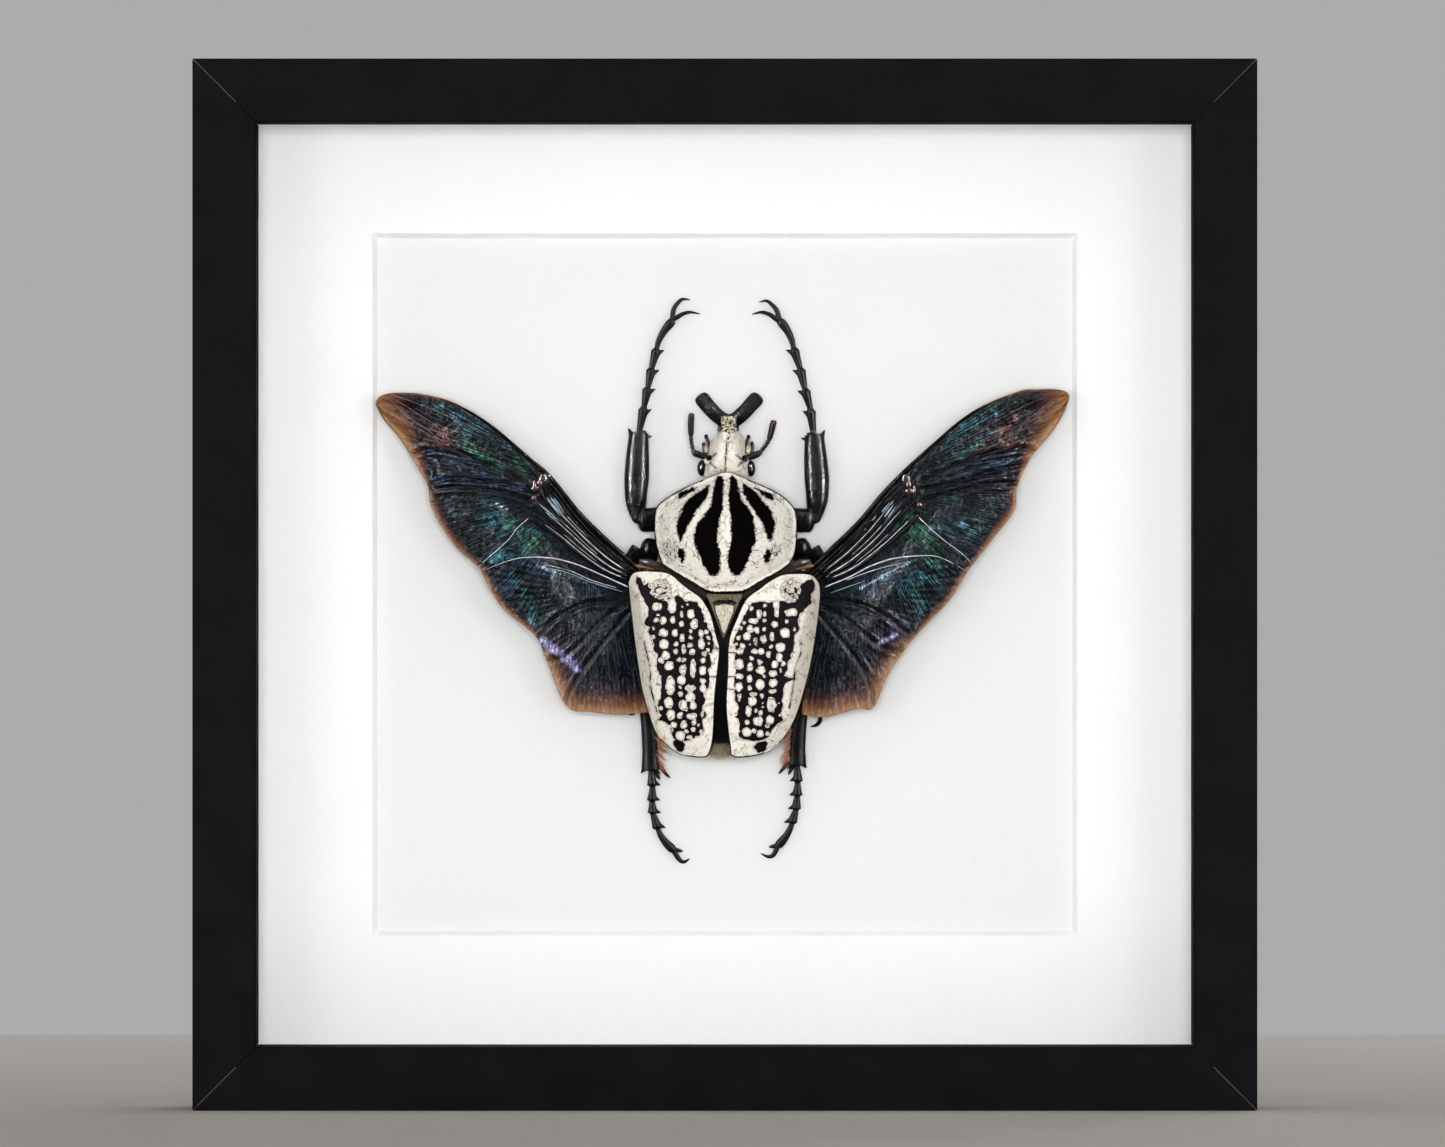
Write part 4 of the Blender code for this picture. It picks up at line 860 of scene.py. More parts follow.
def add(tree, kind, inputs=(), out=0, **settings):
    """Adds a shader node with its settings, fills its inputs in order or by name, and gives one output."""
    made = tree.nodes.new("ShaderNode" + kind)
    for key, value in settings.items():
        setattr(made, key, value)
    for key, value in inputs.items() if isinstance(inputs, dict) else enumerate(inputs):
        if isinstance(value, bpy.types.NodeSocket):
            tree.links.new(value, made.inputs[key])
        else:
            made.inputs[key].default_value = value
    return made if out is None else made.outputs[out]


def new_material(name):
    """An empty material, add() for its tree, and the place on the object."""
    made = bpy.data.materials.new(name)
    made.use_nodes = True
    made.node_tree.nodes.clear()
    node = partial(add, made.node_tree)
    return made, node, node("TexCoord", out="Object")


def sized(place, size, **inputs):
    """Inputs of a pattern with cells of a size in millimetres."""
    return {"Vector": place, "Scale": 1 / (size * MM), **inputs}


def toned(tone, share):
    """A colour made darker or lighter by a share."""
    return [min(1.0, share * part) for part in tone[:3]] + [1.0]


def coated(node, tint, *coats):
    """Lays coats of colour over a tint.

    A coat is (pattern, low, high, cover at low, cover at high, tone). The two covers are 0 and 1 if left
    out, and with the pattern and the tone alone the pattern is the cover.
    """
    for pattern, *ramp, tone in coats:
        share = node("MapRange", [pattern, *ramp], **SOFT) if ramp else pattern
        tint = node("Mix", {0: share, 6: tint, 7: tone}, 2, data_type="RGBA")
    return tint


def surfaced(made, node, tint, inputs, relief=None):
    """Ends a material with its colour, its shader's inputs and a relief: height, millimetres, strength."""
    if relief:
        height, depth, strength = relief
        normal = node("Bump", {"Height": height, "Distance": depth * MM, "Strength": strength})
        inputs = {**inputs, "Normal": normal}
    node("OutputMaterial", [node("BsdfPrincipled", {"Base Color": tint, **inputs})], None)
    return made


def lacquered_wood(settings):
    """Black lacquered hardwood: satin, even, with the grain just felt under the coat."""
    made, node, place = new_material("black lacquered wood")
    cloud = node("TexNoise", sized(place, 12, Detail=4.0))
    pores = node("TexNoise", sized(place, 0.35))
    tint = coated(node, settings.lacquer, (cloud, 0.35, 0.7, 0.0, 0.35, toned(settings.lacquer, 1.6)))
    gloss = node("MapRange", [cloud, 0.3, 0.7, 0.44, 0.5], **SOFT)
    return surfaced(made, node, tint, {"Roughness": gloss, "Specular IOR Level": 0.0}, (pores, 0.02, 0.35))


def clear_glass(settings):
    """Coated picture glass: all but clear, with a faint mirror film."""
    made, node, _ = new_material("coated picture glass")
    inputs = {"Metallic": 1.0, "Roughness": 0.04, "Alpha": settings.glass_veil}
    return surfaced(made, node, linear("#eef4f2"), inputs)


def paper_board(name, tone, dusting):
    """Cotton mat board: matt white with short fibres and a few specks of dust."""
    made, node, place = new_material(name)
    fibre = node("TexNoise", sized(place, 0.45, Detail=4.0, Roughness=0.6, Distortion=0.6))
    cloud = node("TexNoise", sized(place, 25))
    specks = node("TexVoronoi", sized(place, 9))
    tint = coated(
        node, tone,
        (fibre, 0.3, 0.75, 0.0, 0.5, toned(tone, 0.93)),
        (cloud, 0.3, 0.8, 0.0, 0.12, toned(tone, 0.9)),
        (specks, 0.012, 0.022, dusting, 0.0, toned(tone, 0.62)),
    )
    return surfaced(made, node, tint, {"Roughness": 0.9, "Specular IOR Level": 0.05}, (fibre, 0.03, 0.5))


def hardboard(settings):
    """Hardboard: brown pressed fibre, matt and mottled."""
    made, node, place = new_material("pressed hardboard")
    tone = settings.hardboard
    fibre = node("TexNoise", sized(place, 1.2, Detail=6.0, Roughness=0.7, Distortion=1.5))
    cloud = node("TexNoise", sized(place, 18))
    tint = coated(
        node, toned(tone, 0.55), (fibre, 0.35, 0.65, tone), (cloud, 0.4, 0.7, 0.0, 0.4, toned(tone, 1.5))
    )
    return surfaced(made, node, tint, {"Roughness": 0.75}, (fibre, 0.05, 0.6))


def zinc_plate(settings):
    """Zinc plated steel: pale metal with fine rolling lines."""
    made, node, place = new_material("zinc plated steel")
    drawn_out = node("Mapping", {"Vector": place, "Scale": (0.15, 1.0, 1.0)})
    lines = node("TexNoise", sized(drawn_out, 0.3, Detail=3.0))
    tint = coated(node, toned(settings.zinc, 0.7), (lines, 0.3, 0.7, settings.zinc))
    gloss = node("MapRange", [lines, 0.3, 0.7, 0.28, 0.42], **SOFT)
    return surfaced(made, node, tint, {"Roughness": gloss, "Metallic": 1.0}, (lines, 0.01, 0.4))


def cracked_cuticle(name, settings, black, tear, gloss, level=0.0):
    """Chitin under white scales: chalky, yellowed and finely cracked, with ragged black marks.

    It reads the signed distances dark, rim, flank and mottle that are painted on the mesh, in millimetres.
    Tear is how far the edge of a mark strays, and gloss the roughness of the marks. Where no mottle is
    painted it reads 0, so its coats start above that.
    """
    made, node, place = new_material(name)
    stain, dirt, broken, jag, specks = [
        node("TexNoise", sized(place, size, Detail=detail, Roughness=0.62))
        for size, detail in ((3.6, 4.0), (0.9, 5.0), (2.4, 3.0), (0.6, 4.0), (0.5, 2.0))
    ]
    dark, rim, flank, mottle = [
        node("Attribute", out="Fac", attribute_name=word) for word in ("dark", "rim", "flank", "mottle")
    ]
    drift = node("TexNoise", sized(place, 1.4, Detail=3.0), "Color")
    drift = node("VectorMath", [drift, (0.5, 0.5, 0.5)], operation="SUBTRACT")
    drift = node("VectorMath", {0: drift, "Scale": 1.8 * MM}, operation="SCALE")
    warped = node("VectorMath", [place, drift])
    crack = 0.0
    for cell, width, low, share in ((3.4, 0.11, 0.45, 1.0), (1.3, 0.07, 0.5, 0.7)):
        edge = node("TexVoronoi", sized(warped, cell), feature="DISTANCE_TO_EDGE")
        net = node("MapRange", [edge, 0.0, width / cell, share, 0.0], **SOFT)
        where = node("MapRange", [broken, low, low + 0.1], **SOFT)
        crack = node("Math", [crack, node("Math", [net, where], **TIMES)], operation="MAXIMUM")
    ragged = node("Math", [jag, 2 * tear, -tear], **TIMES_PLUS)
    depth = node("Math", [dark, ragged])
    mark = node("MapRange", [depth, -0.04, 0.06], **SOFT)
    seam = node("Math", [node("Math", [depth, 0.16])], operation="ABSOLUTE")
    line = node("Math", [ragged, 0.4, rim], **TIMES_PLUS)
    speckled = node("MapRange", [specks, 0.47, 0.56], **SOFT)
    mottled = node("Math", [speckled, node("MapRange", [mottle, 0.02, 0.25])], **TIMES)
    tint = coated(
        node, settings.chalk,
        (stain, 0.5, 0.75, 0.0, 0.5, settings.cream),
        (mottle, 0.02, 0.45, 0.0, 0.9, settings.ochre),
        (dirt, 0.46, 0.72, 0.0, 0.4, toned(settings.cream, 0.62)),
        (flank, -0.15, 0.35, 0.0, 0.6, settings.flank),
        (crack, settings.crack),
        (seam, 0.03, 0.13, 0.5, 0.0, settings.crack),
        (mottled, black),
        (mark, coated(node, black, (dirt, 0.35, 0.75, toned(black, 2.2)))),
        (line, 0.2, 0.34, 1.0, 0.0, linear("#120e0c")),
    )
    skin = node("Math", [node("Math", [dirt, 0.6], **TIMES), crack], operation="SUBTRACT")
    gloss = node("MapRange", [mark, 0.0, 1.0, 0.55, gloss])
    return surfaced(made, node, tint, {"Roughness": gloss, "Specular IOR Level": level}, (skin, 0.06, 0.6))


def pitted_cuticle(name, tone, pit, depth, gloss, level=0.22):
    """Bare black chitin: hard and glossy, with small round pits that break its highlights up.

    Pit and depth are the size of the pits in millimetres, and the roughness runs from gloss upwards.
    """
    made, node, place = new_material(name)
    pits = node("TexVoronoi", sized(place, pit))
    cloud = node("TexNoise", sized(place, 2, Detail=3.0))
    brown = [2.2 * tone[0] + 0.002, 1.8 * tone[1] + 0.001, 1.5 * tone[2], 1.0]
    tint = coated(node, tone, (cloud, 0.45, 0.75, 0.0, 0.6, brown))
    gloss = node("MapRange", [cloud, 0.3, 0.7, gloss, gloss + 0.12], **SOFT)
    rounded = node("MapRange", [pits, 0.15, 0.5], **SOFT)
    inputs = {"Roughness": gloss, "IOR": 1.5, "Specular IOR Level": level}
    return surfaced(made, node, tint, inputs, (rounded, depth, 0.7))


def plain_horn(name, tone, gloss, size=0.6, level=0.15):
    """Smooth chitin or hair: one tone with a little drift over a size in millimetres."""
    made, node, place = new_material(name)
    cloud = node("TexNoise", sized(place, size, Detail=3.0))
    tint = coated(node, toned(tone, 0.55), (cloud, 0.3, 0.7, tone))
    return surfaced(made, node, tint, {"Roughness": gloss, "Specular IOR Level": level}, (cloud, 0.03, 0.4))


def olive_cuticle(settings):
    """Scutellum under thin scales: an olive border, a paler middle, and black lines between them.

    It reads the distances inner, bar and line that are painted on the mesh, in millimetres.
    """
    made, node, place = new_material("olive scaled cuticle")
    dirt = node("TexNoise", sized(place, 0.5, Detail=4.0))
    inner, stroke, line = [
        node("Math", [dirt, 0.6, node("Attribute", out="Fac", attribute_name=word)], **TIMES_PLUS)
        for word in ("inner", "bar", "line")
    ]
    tint = coated(
        node, settings.olive,
        (dirt, 0.35, 0.7, toned(settings.olive, 0.5)),
        (inner, 0.25, 0.4, coated(node, linear("#d6d1c4"), (dirt, 0.35, 0.7, linear("#aaa28c")))),
        (line, 0.35, 0.5, 0.9, 0.0, linear("#1a1712")),
        (stroke, 0.25, 0.4, linear("#14110f")),
    )
    return surfaced(made, node, tint, {"Roughness": 0.5, "Specular IOR Level": 0.05}, (dirt, 0.06, 0.6))


def wing_membrane(settings):
    """Dried wing membrane: thin and glossy, combed with black lines that are partly painted shade, with film
    colours on the crests.
    """
    made, node, place = new_material("dried wing membrane")
    margin, crease, distal, flap = [
        node("Attribute", out="Fac", attribute_name=word) for word in ("margin", "crease", "distal", "lilac")
    ]
    root_comb, hinge_comb = [
        node("Attribute", out="Vector", attribute_name=word) for word in ("root_comb", "hinge_comb")
    ]
    beyond = node("MapRange", [distal, -1.5, 1.5], **SOFT)
    wave = {"Scale": 0.26, "Distortion": 3.0, "Detail": 2.0, "Detail Scale": 1.4}
    pleat, ray = [
        node("Mix", {0: beyond, 2: node(kind, {"Vector": root_comb, **inputs}),
                     3: node(kind, {"Vector": hinge_comb, **inputs})})
        for kind, inputs in (("TexNoise", {"Scale": 0.9}), ("TexWave", wave))
    ]
    crumple, patches, wander = [
        node("TexNoise", sized(place, size, Detail=4.0, Distortion=warp))
        for size, warp in ((0.9, 1.2), (3.2, 1.0), (1.1, 2.2))
    ]
    # Thin bright squiggles and sparse glints on the crests are painted highlights, in the film's colours made
    # brighter
    highlight_squiggle = node("Math", [node("Math", [wander, 0.5], operation="SUBTRACT")], operation="ABSOLUTE")
    highlight_squiggle = node("MapRange", [highlight_squiggle, 0.006, 0.035, 1.0, 0.0], **SOFT)
    mixed = node("Math", [pleat, 0.62, node("Math", [crumple, 0.28], **TIMES)], **TIMES_PLUS)
    crest = node("MapRange", [node("Math", [ray, 0.1, mixed], **TIMES_PLUS), 0.5, 0.555], **SOFT)
    patchy = node("MapRange", [patches, 0.4, 0.56, 0.2, 1.0], **SOFT)
    film, glow = settings.slate, 0.0
    for word in TINTS:
        cover = node("Math", [node("Attribute", out="Fac", attribute_name=word), patchy], **TIMES)
        film = coated(node, film, (cover, getattr(settings, word)))
        glow = node("Math", [glow, cover], operation="MAXIMUM")
    glint = node("Math", [ray, 0.12, node("Math", [crumple, 0.88], **TIMES)], **TIMES_PLUS)
    glint = node("Math", [node("MapRange", [glint, 0.54, 0.6], **SOFT), highlight_squiggle], operation="MAXIMUM")
    painted_highlight = node("VectorMath", {0: film, "Scale": 2.3}, operation="SCALE")
    edge = node("Math", [pleat, 0.3, margin], **TIMES_PLUS)
    lines = node("Math", [
        node("MapRange", [margin, 0.0, 1.0, 0.25, 1.0]), node("MapRange", [flap, 0.2, 1.0, 1.0, 0.3])
    ], **TIMES)
    tint = coated(
        node, film,
        # Painted highlights
        (node("Math", [glint, glow], **TIMES), painted_highlight),
        (edge, 0.65, 1.15, 1.0, 0.0, settings.mauve),
        (edge, 0.4, 0.75, 1.0, 0.0, settings.brown),
        (edge, 0.1, 0.46, 1.0, 0.0, settings.amber),
        # Black between the crests: the membrane's dark lines and painted shade in the pleat valleys
        (node("Math", [node("MapRange", [crest, 0.0, 1.0, 0.93, 0.0]), lines], **TIMES), settings.navy),
        # Painted shade in the fold valleys, and dark membrane along the ribs
        (node("Math", [crease, 0.9], **TIMES), settings.navy),
    )
    return surfaced(made, node, tint, {
        "Metallic": node("MapRange", [margin, 0.3, 0.9, 0.0, 0.08]),
        "Roughness": node("MapRange", [crumple, 0.3, 0.7, 0.24, 0.4]), "Specular IOR Level": 0.09,
    }, (node("Math", [crest, 0.6, crumple], **TIMES_PLUS), 0.16, 0.8))


def build_rail(side, turn, settings, material):
    """One mitred rail with its rabbet, made as the bottom rail and turned about the middle of the frame."""
    along_x = side in ("bottom", "top")
    half, reach = (HALF_WIDTH, HEIGHT / 2) if along_x else (HEIGHT / 2, HALF_WIDTH)
    step = FRONT + LIP
    profile = [(FRONT, 0.0), (BACK, 0.0), (BACK, WALL), (step, WALL), (step, FACE), (FRONT, FACE)]
    bm = bmesh.new()
    section = bm.faces.new([bm.verts.new((-1.0, y, z)) for y, z in profile])
    far_end = bmesh.ops.extrude_face_region(bm, geom=[section])["geom"]
    far_end = [vert for vert in far_end if isinstance(vert, bmesh.types.BMVert)]
    bmesh.ops.translate(bm, vec=(2.0, 0, 0), verts=far_end)
    for vert in bm.verts:
        vert.co.x = math.copysign(half - vert.co.z - MITRE_GAP, vert.co.x)
    bmesh.ops.recalc_face_normals(bm, faces=bm.faces)
    for long_edges, width, segments in ((True, settings.rail_edge, 3), (False, settings.mitre_edge, 1)):
        sharp = [
            edge for edge in bm.edges
            if (abs(edge.verts[0].co.x - edge.verts[1].co.x) > half) == long_edges
            and edge.calc_face_angle(0.0) > SHARP
        ]
        bmesh.ops.bevel(bm, geom=sharp, offset=width / MM, segments=segments, profile=0.5,
                        affect="EDGES", material=-1, clamp_overlap=True)
    turned = Matrix.Rotation(turn, 4, "Y") @ Matrix.Translation((0, 0, -reach))
    bm.transform(Matrix.Scale(MM, 4) @ Matrix.Translation((0, 0, HEIGHT / 2)) @ turned)
    piece(f"{side}_rail", ended(bm, smooth=False), "frame", [f"frame_rail_{side}"], material)


def pronotum_heights():
    """The outline of the pronotum with the heights of its back and of its underside."""
    outline = Outline(PRONOTUM, PRONOTUM_CENTRE)

    def rim(angle):
        # It sinks towards the sides and towards the head
        x, z = outline.at(angle)
        return 20.0 - 5.2 * (np.abs(x) / 17.0) ** 1.6 - 4.5 * np.maximum(0.0, (z - 8.0) / 20.0)

    def top(x, z, share, angle):
        bead = 0.22 * bell(share - 0.975, 0.018) - 0.25 * bell(share - 0.93, 0.03)
        return PRONOTUM_CROWN - (PRONOTUM_CROWN - rim(angle)) * share**2.4 + bead * (share < 1)

    def underside(x, z, share, angle):
        return rim(angle) - (rim(angle) - PRONOTUM_FLOOR) * (1 - share**2)

    return outline, top, underside


def build_pronotum(settings):
    """The striped shield, with its rim, tick and specks."""
    outline, top, underside = pronotum_heights()
    mesh = pillow(outline, top, underside, 180, 150)
    x, z, _ = in_specimen(mesh)
    dark = np.max([inked(x, z, stripe) for stripe in STRIPES], axis=0)
    dark = np.maximum(dark, 0.1 - distance(x, z, np.array(TICK) * MARK))
    for spot_x, spot_z, spot_r in np.array(SPECKLES) * MARK:
        near = 1 - np.hypot(x - spot_x, z - spot_z) / spot_r
        dark = np.maximum(dark, np.minimum(0.22 * rough(x, z, 0.5, 4.0) - 0.1, 0.3 * near))
    from_edge = distance(x, z, outline.line, closed=True)
    paint(mesh, "dark", np.where(per_vertex(mesh, "normal")[:, 1] > 0, 1.0, dark))
    paint(mesh, "rim", from_edge + np.where(z > 26.5, 0.3, 0.0))
    paint(mesh, "flank", np.full(len(x), -2.0))
    material = cracked_cuticle("striped cuticle", settings, settings.stripe, 1.0, 0.75)
    piece("pronotum", mesh, "pale_cuticle", ["beetle_pronotum"], material)


def elytron_heights(side):
    """The outline of a wing case with the heights of its back and of its thin underside."""
    outline = Outline(ELYTRON[side], (side * ELYTRON_CENTRE[0], ELYTRON_CENTRE[1]))

    def top(x, z, share, angle):
        # The rim sinks towards the flank and the tip, and two low bumps stand on the back
        rim_x, rim_z = outline.at(angle)
        rim = 20.4 - 5.6 * (np.abs(rim_x) / 22.0) ** 1.5 - 3.2 * np.maximum(0.0, (-30.0 - rim_z) / 9.0)
        shoulder = 0.7 * bell(np.hypot(x - side * 17.2, z - 0.5), 3.0)
        callus = 0.6 * bell(np.hypot(x - side * 9.3, z + 34.0), math.sqrt(5))
        return ELYTRON_CROWN - (ELYTRON_CROWN - rim) * share**2.4 + (shoulder + callus) * dome(share)

    def underside(x, z, share, angle):
        return top(x, z, share, angle) - ELYTRON_WALL * dome(share)

    return outline, top, underside


def build_elytron(word, side, material):
    """One wing case. Its marks are the black field less its dots, then spots, dashes, cuts and scribbles."""
    outline, top, underside = elytron_heights(side)
    mesh = pillow(outline, top, underside, 120, 220)
    x, z, _ = in_specimen(mesh)
    dark = inked(x, z, FIELD[side], 2) + 0.35 * rough(x, z, 0.9, 8.0)
    # The dots, with lumpy edges
    lumpy_x, lumpy_z = x + 0.3 * rough(x, z, 0.9, 1.0), z + 0.3 * rough(x, z, 0.9, 6.0)
    for dot_x, dot_z, half_x, half_z in np.array(DOTS[side]) * MARK:
        power_x = np.abs((lumpy_x - dot_x) / half_x) ** DOT_POWER
        power_z = np.abs((lumpy_z - dot_z) / half_z) ** DOT_POWER
        apart = (power_x + power_z) ** (1 / DOT_POWER) - 1
        dark = np.minimum(dark, apart * min(half_x, half_z) + 0.05)
    # The worn scribble on the shoulder, then the spot at the tip, the flank line and the cuts
    spot_x, spot_z, spot_r = np.array(SCRIBBLE[side]) * MARK
    from_spot = np.hypot(x - spot_x, z - spot_z)
    worn = np.clip(1.7 - from_spot / 2.6, 0, 1)
    dark = dark - 0.6 * worn * (0.3 + rough(x, z, 0.9, 9.0) + rough(x, z, 0.45, 2.0))
    dark = np.maximum(dark, inked(x, z, APEX_SPOT[side]) + 0.4 * rough(x, z, 0.9, 4.0))
    flank_line = drawn(FLANK[side], 4)
    outer = np.vstack((flank_line, [(side * 26, -40), (side * 30, 6), (side * 21, 8)]))
    dashes = 0.1 + 0.25 * rough(x, z, 1.6) - distance(x, z, flank_line[10:-10])
    ring = np.abs(np.hypot((x - spot_x) / 1.25, (z - spot_z) / 0.85) - 1) + 0.35 * rough(x, z, 0.9, 2.0)
    squiggle = np.maximum(0.09 - np.abs(rough(x, z, 0.7, 3.0)) * 0.8, 0.14 - ring)
    cuts = 0.12 - np.min([distance(x, z, np.array(cut) * MARK) for cut in CUTS[side]], axis=0)
    dark = np.max([dark, np.minimum(squiggle, 1 - from_spot / spot_r), dashes, cuts], axis=0)
    paint(mesh, "dark", np.where(per_vertex(mesh, "normal")[:, 1] > 0, 1.0, dark))
    paint(mesh, "rim", distance(x, z, outline.line, closed=True) + np.where(side * x < 9, 0.0, 0.12))
    paint(mesh, "flank", signed(x, z, outer))
    piece(f"{word}_wing_case", mesh, "pale_cuticle", [f"elytron_{word}"], material)


def build_scutellum(settings):
    """A small three-cornered plate with a raised olive border and a paler middle."""
    mesh = pillow(
        Outline(SCUTELLUM, SCUTELLUM_CENTRE, 4),
        lambda x, z, s, a: SCUTELLUM_TOP + 0.5 * dome(s, 8) - 0.35 * np.exp(-((s / 0.6) ** 4)),
        lambda x, z, s, a: SCUTELLUM_TOP - 0.7 * dome(s, 8), 70, 90,
    )
    x, z, _ = in_specimen(mesh)
    inner = drawn(SCUTELLUM_MIDDLE, 2, closed=True)
    paint(mesh, "inner", signed(x, z, inner))
    paint(mesh, "bar", 0.45 - distance(x, z, np.array(SCUTELLUM_BAR) * MARK))
    paint(mesh, "line", distance(x, z, inner, closed=True))
    piece("scutellum", mesh, "scutellum_cuticle", ["beetle_scutellum"], olive_cuticle(settings))


def build_head(settings):
    """The head capsule with its forked horn, then eyes and mouthparts of their own finish."""
    capsule = pillow(
        Outline(HEAD, HEAD_CENTRE),
        lambda x, z, s, a: HEAD_RIM + 4.6 * (1 - s**2.6) - 0.35 * bell(x - 0.5, 1.1) * (1 - s),
        lambda x, z, s, a: HEAD_RIM - 4.0 * dome(s), 70, 90,
    )
    neck = ball(0.5, 28.2, 9.6, (4.2, 2.8, 2.2))
    ridges = [ball(x * 0.78 + 0.1, z + 1.7, 12.9, (0.8, 1.0, 0.9)) for x, z in EYES]
    arms = []
    for arm in HORNS:
        line = smooth_line(lifted(arm, (14.4, 14.9, 15.8, 16.8, 17.3)), 6)
        arm_bar = bar(line, (1.9, 1.75, 1.8, 1.85, 1.5, 0.8), (0, 0.3, 0.75, 0.88, 0.96, 1))
        arms.append(pressed(tubes([arm_bar], 20), line, 0.72))
    mesh = grown([capsule, neck, *ridges, *arms])
    x, z, h = in_specimen(mesh)
    # The horn is black and granular round a pale mottled patch
    patch = signed(x, z, np.array(HORN_PATCH) * MARK) + 0.3 * rough(x, z, 0.8, 7.0)
    near_arms = 2.1 - np.min([distance(x, z, arm) for arm in HORNS], axis=0)
    horn = np.min([near_arms, z - 37.7, -patch - 0.05], axis=0)
    set_places(mesh, in_frame(x, z, h + 0.5 * np.maximum(0, rough(x, z, 0.5)) * (horn > 0)))
    sides = 0.4 - np.abs(np.abs(x - 0.95) - 2.2) + 0.25 * rough(x, z, 0.8, 5.0)
    marks = [horn, np.min([sides, z - 37.9, 41.6 - z], axis=0), HEAD_UNDERSIDE - h]
    marks += [0.12 - distance(x, z, np.array(line) * MARK) for line in HEAD_LINES]
    marks[3] = marks[3] + 0.06 * rough(x, z, 1.0)
    for (root_x, root_z), *_ in ANTENNAE.values():
        marks.append(0.75 - np.hypot(x - root_x, z - root_z) + 0.5 * rough(x, z, 0.6, 3.0))
    paint(mesh, "dark", np.where(h > HEAD_UNDERSIDE, np.max(marks, axis=0), 1.0))
    paint(mesh, "rim", np.full(len(x), 2.0))
    paint(mesh, "mottle", patch + 0.2)
    paint(mesh, "flank", np.full(len(x), 0.1))
    mesh.shade_smooth()
    pale = cracked_cuticle("cracked head cuticle", settings, settings.leg, 0.3, 0.2, 0.14)
    piece("head", mesh, "pale_cuticle", ["beetle_head"], pale)
    eyes = joined([ball(x, z, 11.6, (1.15, 1.9, 1.9)) for x, z in EYES])
    glossy = plain_horn("glossy eye", linear("#050507"), 0.08, 0.2, 0.4)
    piece("eyes", eyes, "pale_cuticle", ["beetle_head"], glossy)
    stems, tips = [], []
    for palp in (palp for palps in PALPS.values() for palp in palps):
        line = smooth_line(lifted(palp, (10.8, 10.6, 10.4)), 6)
        stems.append(bar(line, (0.6, 0.42, 0.42, 0.3), (0, 0.5, 0.8, 1)))
        tips.append(ball(*line[-2], (0.46, 0.62, 0.46), 20, 12))
    lobes = [ball(x, z, 10.7, (half_x, half_z, 0.6), 20, 12) for x, z, half_x, half_z in LOBES]
    mesh = joined([tubes(stems, 12)], tips, lobes)
    finishes = (("amber brown chitin", "#452c1b", 0.3), ("black palp chitin", "#0b0909", 0.25),
                ("pale lobe chitin", "#d8cfb6", 0.45))
    piece("mouthparts", mesh, "pale_cuticle", ["beetle_head"],
          *[plain_horn(name, linear(code), gloss) for name, code, gloss in finishes])


def build_antennae(settings):
    """Black stalk with small joints, and a red brown club of three leaves."""
    stalk = pitted_cuticle("stalk cuticle", settings.leg, 0.25, 0.02, 0.25)
    club_finish = plain_horn("red brown club", linear("#2a1513"), 0.4, 0.3)
    for word, side in SIDES.items():
        points = lifted(ANTENNAE[side], (12.0, 11.6, 11.6, 12.2, 12.8, 13.4, 13.9))
        line = smooth_line(points[:5], 10)
        share = np.linspace(0, 1, len(line))
        beads = 0.1 * np.cos(share * 2 * math.pi * 9) * (share > 0.52)
        _, widths = bar(line, (0.6, 0.7, 0.82, 0.75, 0.45, 0.5), (0, 0.12, 0.4, 0.5, 0.56, 1))
        club, leaf = bar(
            smooth_line(points[4:], 10), (0.4, 0.62, 0.72, 0.68, 0.45, 0.1), (0, 0.12, 0.6, 0.86, 0.96, 1)
        )
        leaves = [(club + np.array((side * 0.1 * k, 0, 0.46 * k)), 0.92 * leaf) for k in (-1, 0, 1)]
        mesh = joined([tubes([(line, widths + beads)], 14)], [tubes(leaves, 14)])
        piece(f"{word}_antenna", mesh, "leg_cuticle", [f"antenna_{word}"], stalk, club_finish)


def strands(rng, roots, direction, lengths, width, spread, curl=0.25):
    """Hairs from (x, z, h) roots, each bent a little, as fine tapered bars."""
    steps = np.array([[0.0], [0.5], [1.0]])
    hairs = []
    for root, reach in zip(roots, lengths):
        way = np.array(direction) + rng.normal(0, spread, 3)
        way = way / np.linalg.norm(way)
        bend = rng.normal(0, curl, 3)
        hairs.append((root + reach * (steps * way + steps**2 * bend), width * np.array((1.0, 0.8, 0.15))))
    return tubes(hairs, 4)


